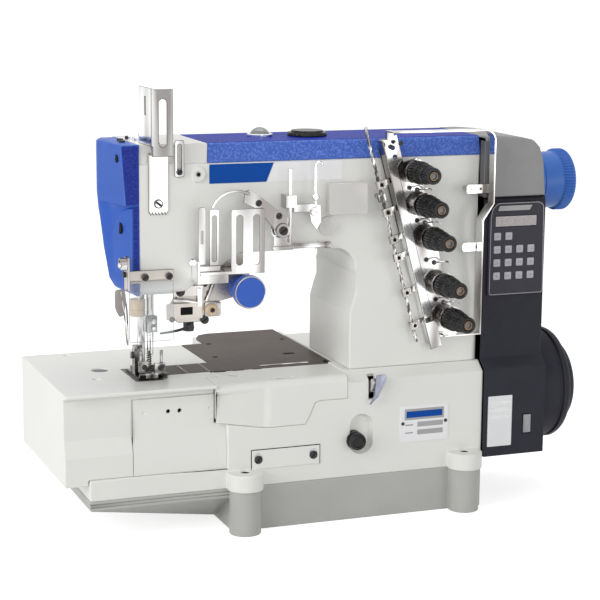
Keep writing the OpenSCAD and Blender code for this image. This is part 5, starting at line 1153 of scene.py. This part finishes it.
# %% [markdown]
# ## Seams, lines and lips
# Where two covers meet there is a thin dark line. Real gaps would need the castings cut apart, so a fine dark
# wire, sunk halfway into the faces, draws each line. A bright one is the polished edge of a slide plate.
# %% Seams
SEAMS = [[(-240.5, -101.6, 68.2), (-142.5, -104.4, 68.2)], [(-116.2, -104.3, 85.4), (-40.8, -104.3, 85.4)],
         [(-116.4, -104.3, 64.8), (-116.4, -104.3, 85.4)], [(-40.6, -104.3, 64.8), (-40.6, -104.3, 85.4)]]
as_object("seams", *join(*[wire(resample(path, 12, False), 0.42, 6) for path in SEAMS]), dark_hole, "machine")
lines = [[(-166, -4.5, 158.05), (-166, -44, 158.05)], [(-142, -4, 158.05), (-142, -44, 158.05)]]
lines = [wire(resample(path, 6, False), 0.4, 6) for path in lines]
as_object("plate_lines", *join(*lines), bright, "machine")
plate_lip = slab(oblong(-84, -28, -38.4, -35.6, 0.5), "Z", BED_TOP - 0.1, 158.7, 0.3, 2)
as_object("plate_lip", *plate_lip, bright, "machine")
print("seams:", len(SEAMS))

# %% [markdown]
# ## Front of the bed
# The push button and the feed lever are worked from outside, and the looper cover turns on its hinge. Its
# gaps and its turned-in edge ride on it, so they go along when it opens.
# %% Button, lever and looper cover
adjust_heads = facing([(x, -105.2, 75, 4.4, 0.8) for x in (-109, -48)])
screw_set("adjust_screws", "machine", adjust_heads, 0.9)
BUTTON = [(-113.2, 0), (-113.2, 5.4), (-114.4, 6.2), (-114.9, 7.6), (-114.4, 8.6), (-113, 9.2), (-108, 9.4),
          (-107.4, 9.0), (-107.4, 0)]
as_object("button_cap", *spin(BUTTON, (-0.6, 86.4), "Y", 96, grips(24, 0.04, 8)), black_gloss, "push_button",
          "black_knob")
gaps = [slab(oblong(x0, x1, -50.6, -48.5, 0.4), "Z", BED_TOP - 0.1, BED_TOP + 0.12, 0.05, 1)
        for x0, x1 in ((-118, -106), (-96, -86))]
as_object("plate_gaps", *join(*gaps), dark_hole, "looper_cover")
SAIL = [(20.4, 156.4), (31.2, 156.4), (31.4, 151.5), (22.6, 133.0), (13.0, 124.6), (18.8, 135.0)]
as_object("lever_sail", *slab(fillet(SAIL, 1.5, 4), "Y", -111.4, -109.1, 0.5, 2), sail_finish, "feed_lever")
cover_return = slab(oblong(-154.0, -152.6, -101.0, -96.6, 0.3), "Z", 121.0, 154.0, 0.2, 1)
as_object("cover_return", *cover_return, white_enamel, "looper_cover")
print("button, lever and cover details")

# %% [markdown]
# ## Parts that stay as built
# Turned shafts and inner parts already have their true form, so they only take a finish.
# %% Plain nodes


def coat_node(node, material):
    """Gives a CAD node's own mesh a finish."""
    piece = frame["nodes"][node]
    piece.data.materials.clear()
    piece.data.materials.append(material)


PLAIN = {
    steel: ["upper_shaft", "lower_shaft", "crank_rod", "shaft_bearings", "feed_dogs"],
    cast_iron: ["tension_posts", "needle_crank", "upper_pulley", "lower_pulley"],
    bright: ["looper", "needle_bar"],
    wire_steel: ["needles", "presser_bar", "tension_springs"],
    dark_chrome: ["tension_discs"],
    rubber: ["timing_belt"],
    dark_steel: ["spreader"],
    clear_sheet: ["guard_shield"],
    black_gloss: ["push_button"],
    dial_blue: ["adjust_dial"],
}
for material, nodes in PLAIN.items():
    for node in nodes:
        coat_node(node, material)
print("coated as built:", sum(len(nodes) for nodes in PLAIN.values()))

# %% [markdown]
# ## Floor
# A pale floor runs on to the horizon. It glows a little for the camera, for mirrors and through clear sheets,
# but adds no light to matt surfaces, so it looks white and still takes the machine's soft shadow.
# %% Floor
FLOOR_HALF, FLOOR_TONE, FLOOR_GLOW = 40.0, 0.62, 0.75


def combine(nodes, links, operation, first, second):
    """A maths node over an output and either another output or a number."""
    n = nodes.new("ShaderNodeMath")
    n.operation = operation
    links.new(first, n.inputs[0])
    if isinstance(second, float):
        n.inputs[1].default_value = second
    else:
        links.new(second, n.inputs[1])
    return n.outputs[0]


def make_floor():
    """One square with a matt finish whose glow is switched by the kind of ray."""
    corners = [(-FLOOR_HALF, -FLOOR_HALF, 0), (FLOOR_HALF, -FLOOR_HALF, 0), (FLOOR_HALF, FLOOR_HALF, 0),
               (-FLOOR_HALF, FLOOR_HALF, 0)]
    mesh = bpy.data.meshes.new("floor")
    mesh.from_pydata(corners, [], [(0, 1, 2, 3)])
    floor = bpy.data.objects.new("floor", mesh)
    bpy.context.scene.collection.objects.link(floor)
    m = bpy.data.materials.new("floor_pale")
    m.use_nodes = True
    nodes, links = m.node_tree.nodes, m.node_tree.links
    shader = nodes["Principled BSDF"]
    shader.inputs["Base Color"].default_value = (FLOOR_TONE, FLOOR_TONE, FLOOR_TONE, 1)
    shader.inputs["Roughness"].default_value = 0.9
    shader.inputs["Specular IOR Level"].default_value = 0.0
    shader.inputs["Emission Color"].default_value = (1, 1, 1, 1)
    ray = nodes.new("ShaderNodeLightPath").outputs
    seen = combine(nodes, links, "MAXIMUM", ray["Is Camera Ray"], ray["Is Glossy Ray"])
    seen = combine(nodes, links, "MAXIMUM", seen, ray["Is Transmission Ray"])
    links.new(combine(nodes, links, "MULTIPLY", seen, FLOOR_GLOW), shader.inputs["Emission Strength"])
    mesh.materials.append(m)
    floor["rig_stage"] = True


make_floor()
print("floor:", 2 * FLOOR_HALF, "m wide")

# %% [markdown]
# ## World
# The world gives an even light and is white to the camera. A mirror ray to the back sees white too, and one
# to the front sees a dimmer room, so that polished parts have something darker to mirror.
# %% World


def make_world(level, room):
    """Ambient light of `level`. Camera and glass rays see white, and so do mirror rays that go to the back;
    mirror rays to the front see the dimmer room, mixed over the direction's Y from -0.5 to 0.2."""
    world = bpy.data.worlds.new("studio")
    bpy.context.scene.world = world
    world.use_nodes = True
    nodes, links = world.node_tree.nodes, world.node_tree.links
    back = nodes["Background"]
    back.inputs["Color"].default_value = (1, 1, 1, 1)
    path, coords = nodes.new("ShaderNodeLightPath"), nodes.new("ShaderNodeTexCoord")
    split = nodes.new("ShaderNodeSeparateXYZ")
    links.new(coords.outputs["Generated"], split.inputs[0])
    behind = remap(nodes, links, split.outputs["Y"], (-0.5, 0.2), (room, 1.0))
    strength = level
    for ray, value in (("Is Glossy Ray", behind), ("Is Transmission Ray", 1.0), ("Is Camera Ray", 1.0)):
        mix = nodes.new("ShaderNodeMix")
        links.new(path.outputs[ray], mix.inputs["Factor"])
        for socket, source in ((mix.inputs["A"], strength), (mix.inputs["B"], value)):
            if isinstance(source, float):
                socket.default_value = source
            else:
                links.new(source, socket)
        strength = mix.outputs["Result"]
    links.new(strength, back.inputs["Strength"])


AMBIENT, ROOM = 0.5, 0.85
make_world(AMBIENT, ROOM)
print("world: ambient", AMBIENT, "and room", ROOM)

# %% [markdown]
# ## Lamps
# One sun would cast hard shadows. Five large round lamps give soft ones, and all are turned to one point in
# the machine. The brightest stands high on the left.
# %% Lamps
AIM = (0, 0, 0.2)
LAMPS = [("left_high", (-2.6, -1.6, 1.7), 1.4, 24), ("left_low", (-2.2, -0.6, 0.45), 1.2, 13),
         ("right_low", (1.4, -2.0, 0.3), 1.0, 6), ("front", (-0.2, -2.8, 0.8), 1.5, 9),
         ("top", (0.1, 0.3, 2.3), 1.6, 14)]


def make_lamp(name, place_at, aim, size, power):
    """A round area lamp. Its own Z axis points from the aim back to the lamp, and its X axis is level."""
    data = bpy.data.lights.new(name, "AREA")
    data.shape, data.size, data.energy = "DISK", size, power
    lamp = bpy.data.objects.new(name, data)
    bpy.context.scene.collection.objects.link(lamp)
    back = np.array(place_at, float) - np.array(aim, float)
    back /= np.linalg.norm(back)
    right = np.cross([0, 0, 1.0], back)
    right /= np.linalg.norm(right)
    turn = np.eye(4)
    turn[:3, :3] = np.column_stack([right, np.cross(back, right), back])
    turn[:3, 3] = place_at
    lamp.matrix_world = Matrix(turn.tolist())


for name, place_at, size, power in LAMPS:
    make_lamp(name, place_at, AIM, size, power)
bpy.context.scene.view_settings.view_transform = "Standard"
print("lamps:", len(LAMPS))

# %% [markdown]
# ## Sizes
# The dressed machine should be as large as the bare frame. Its bounds are read at the end.
# %% Read the sizes
low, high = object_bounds()
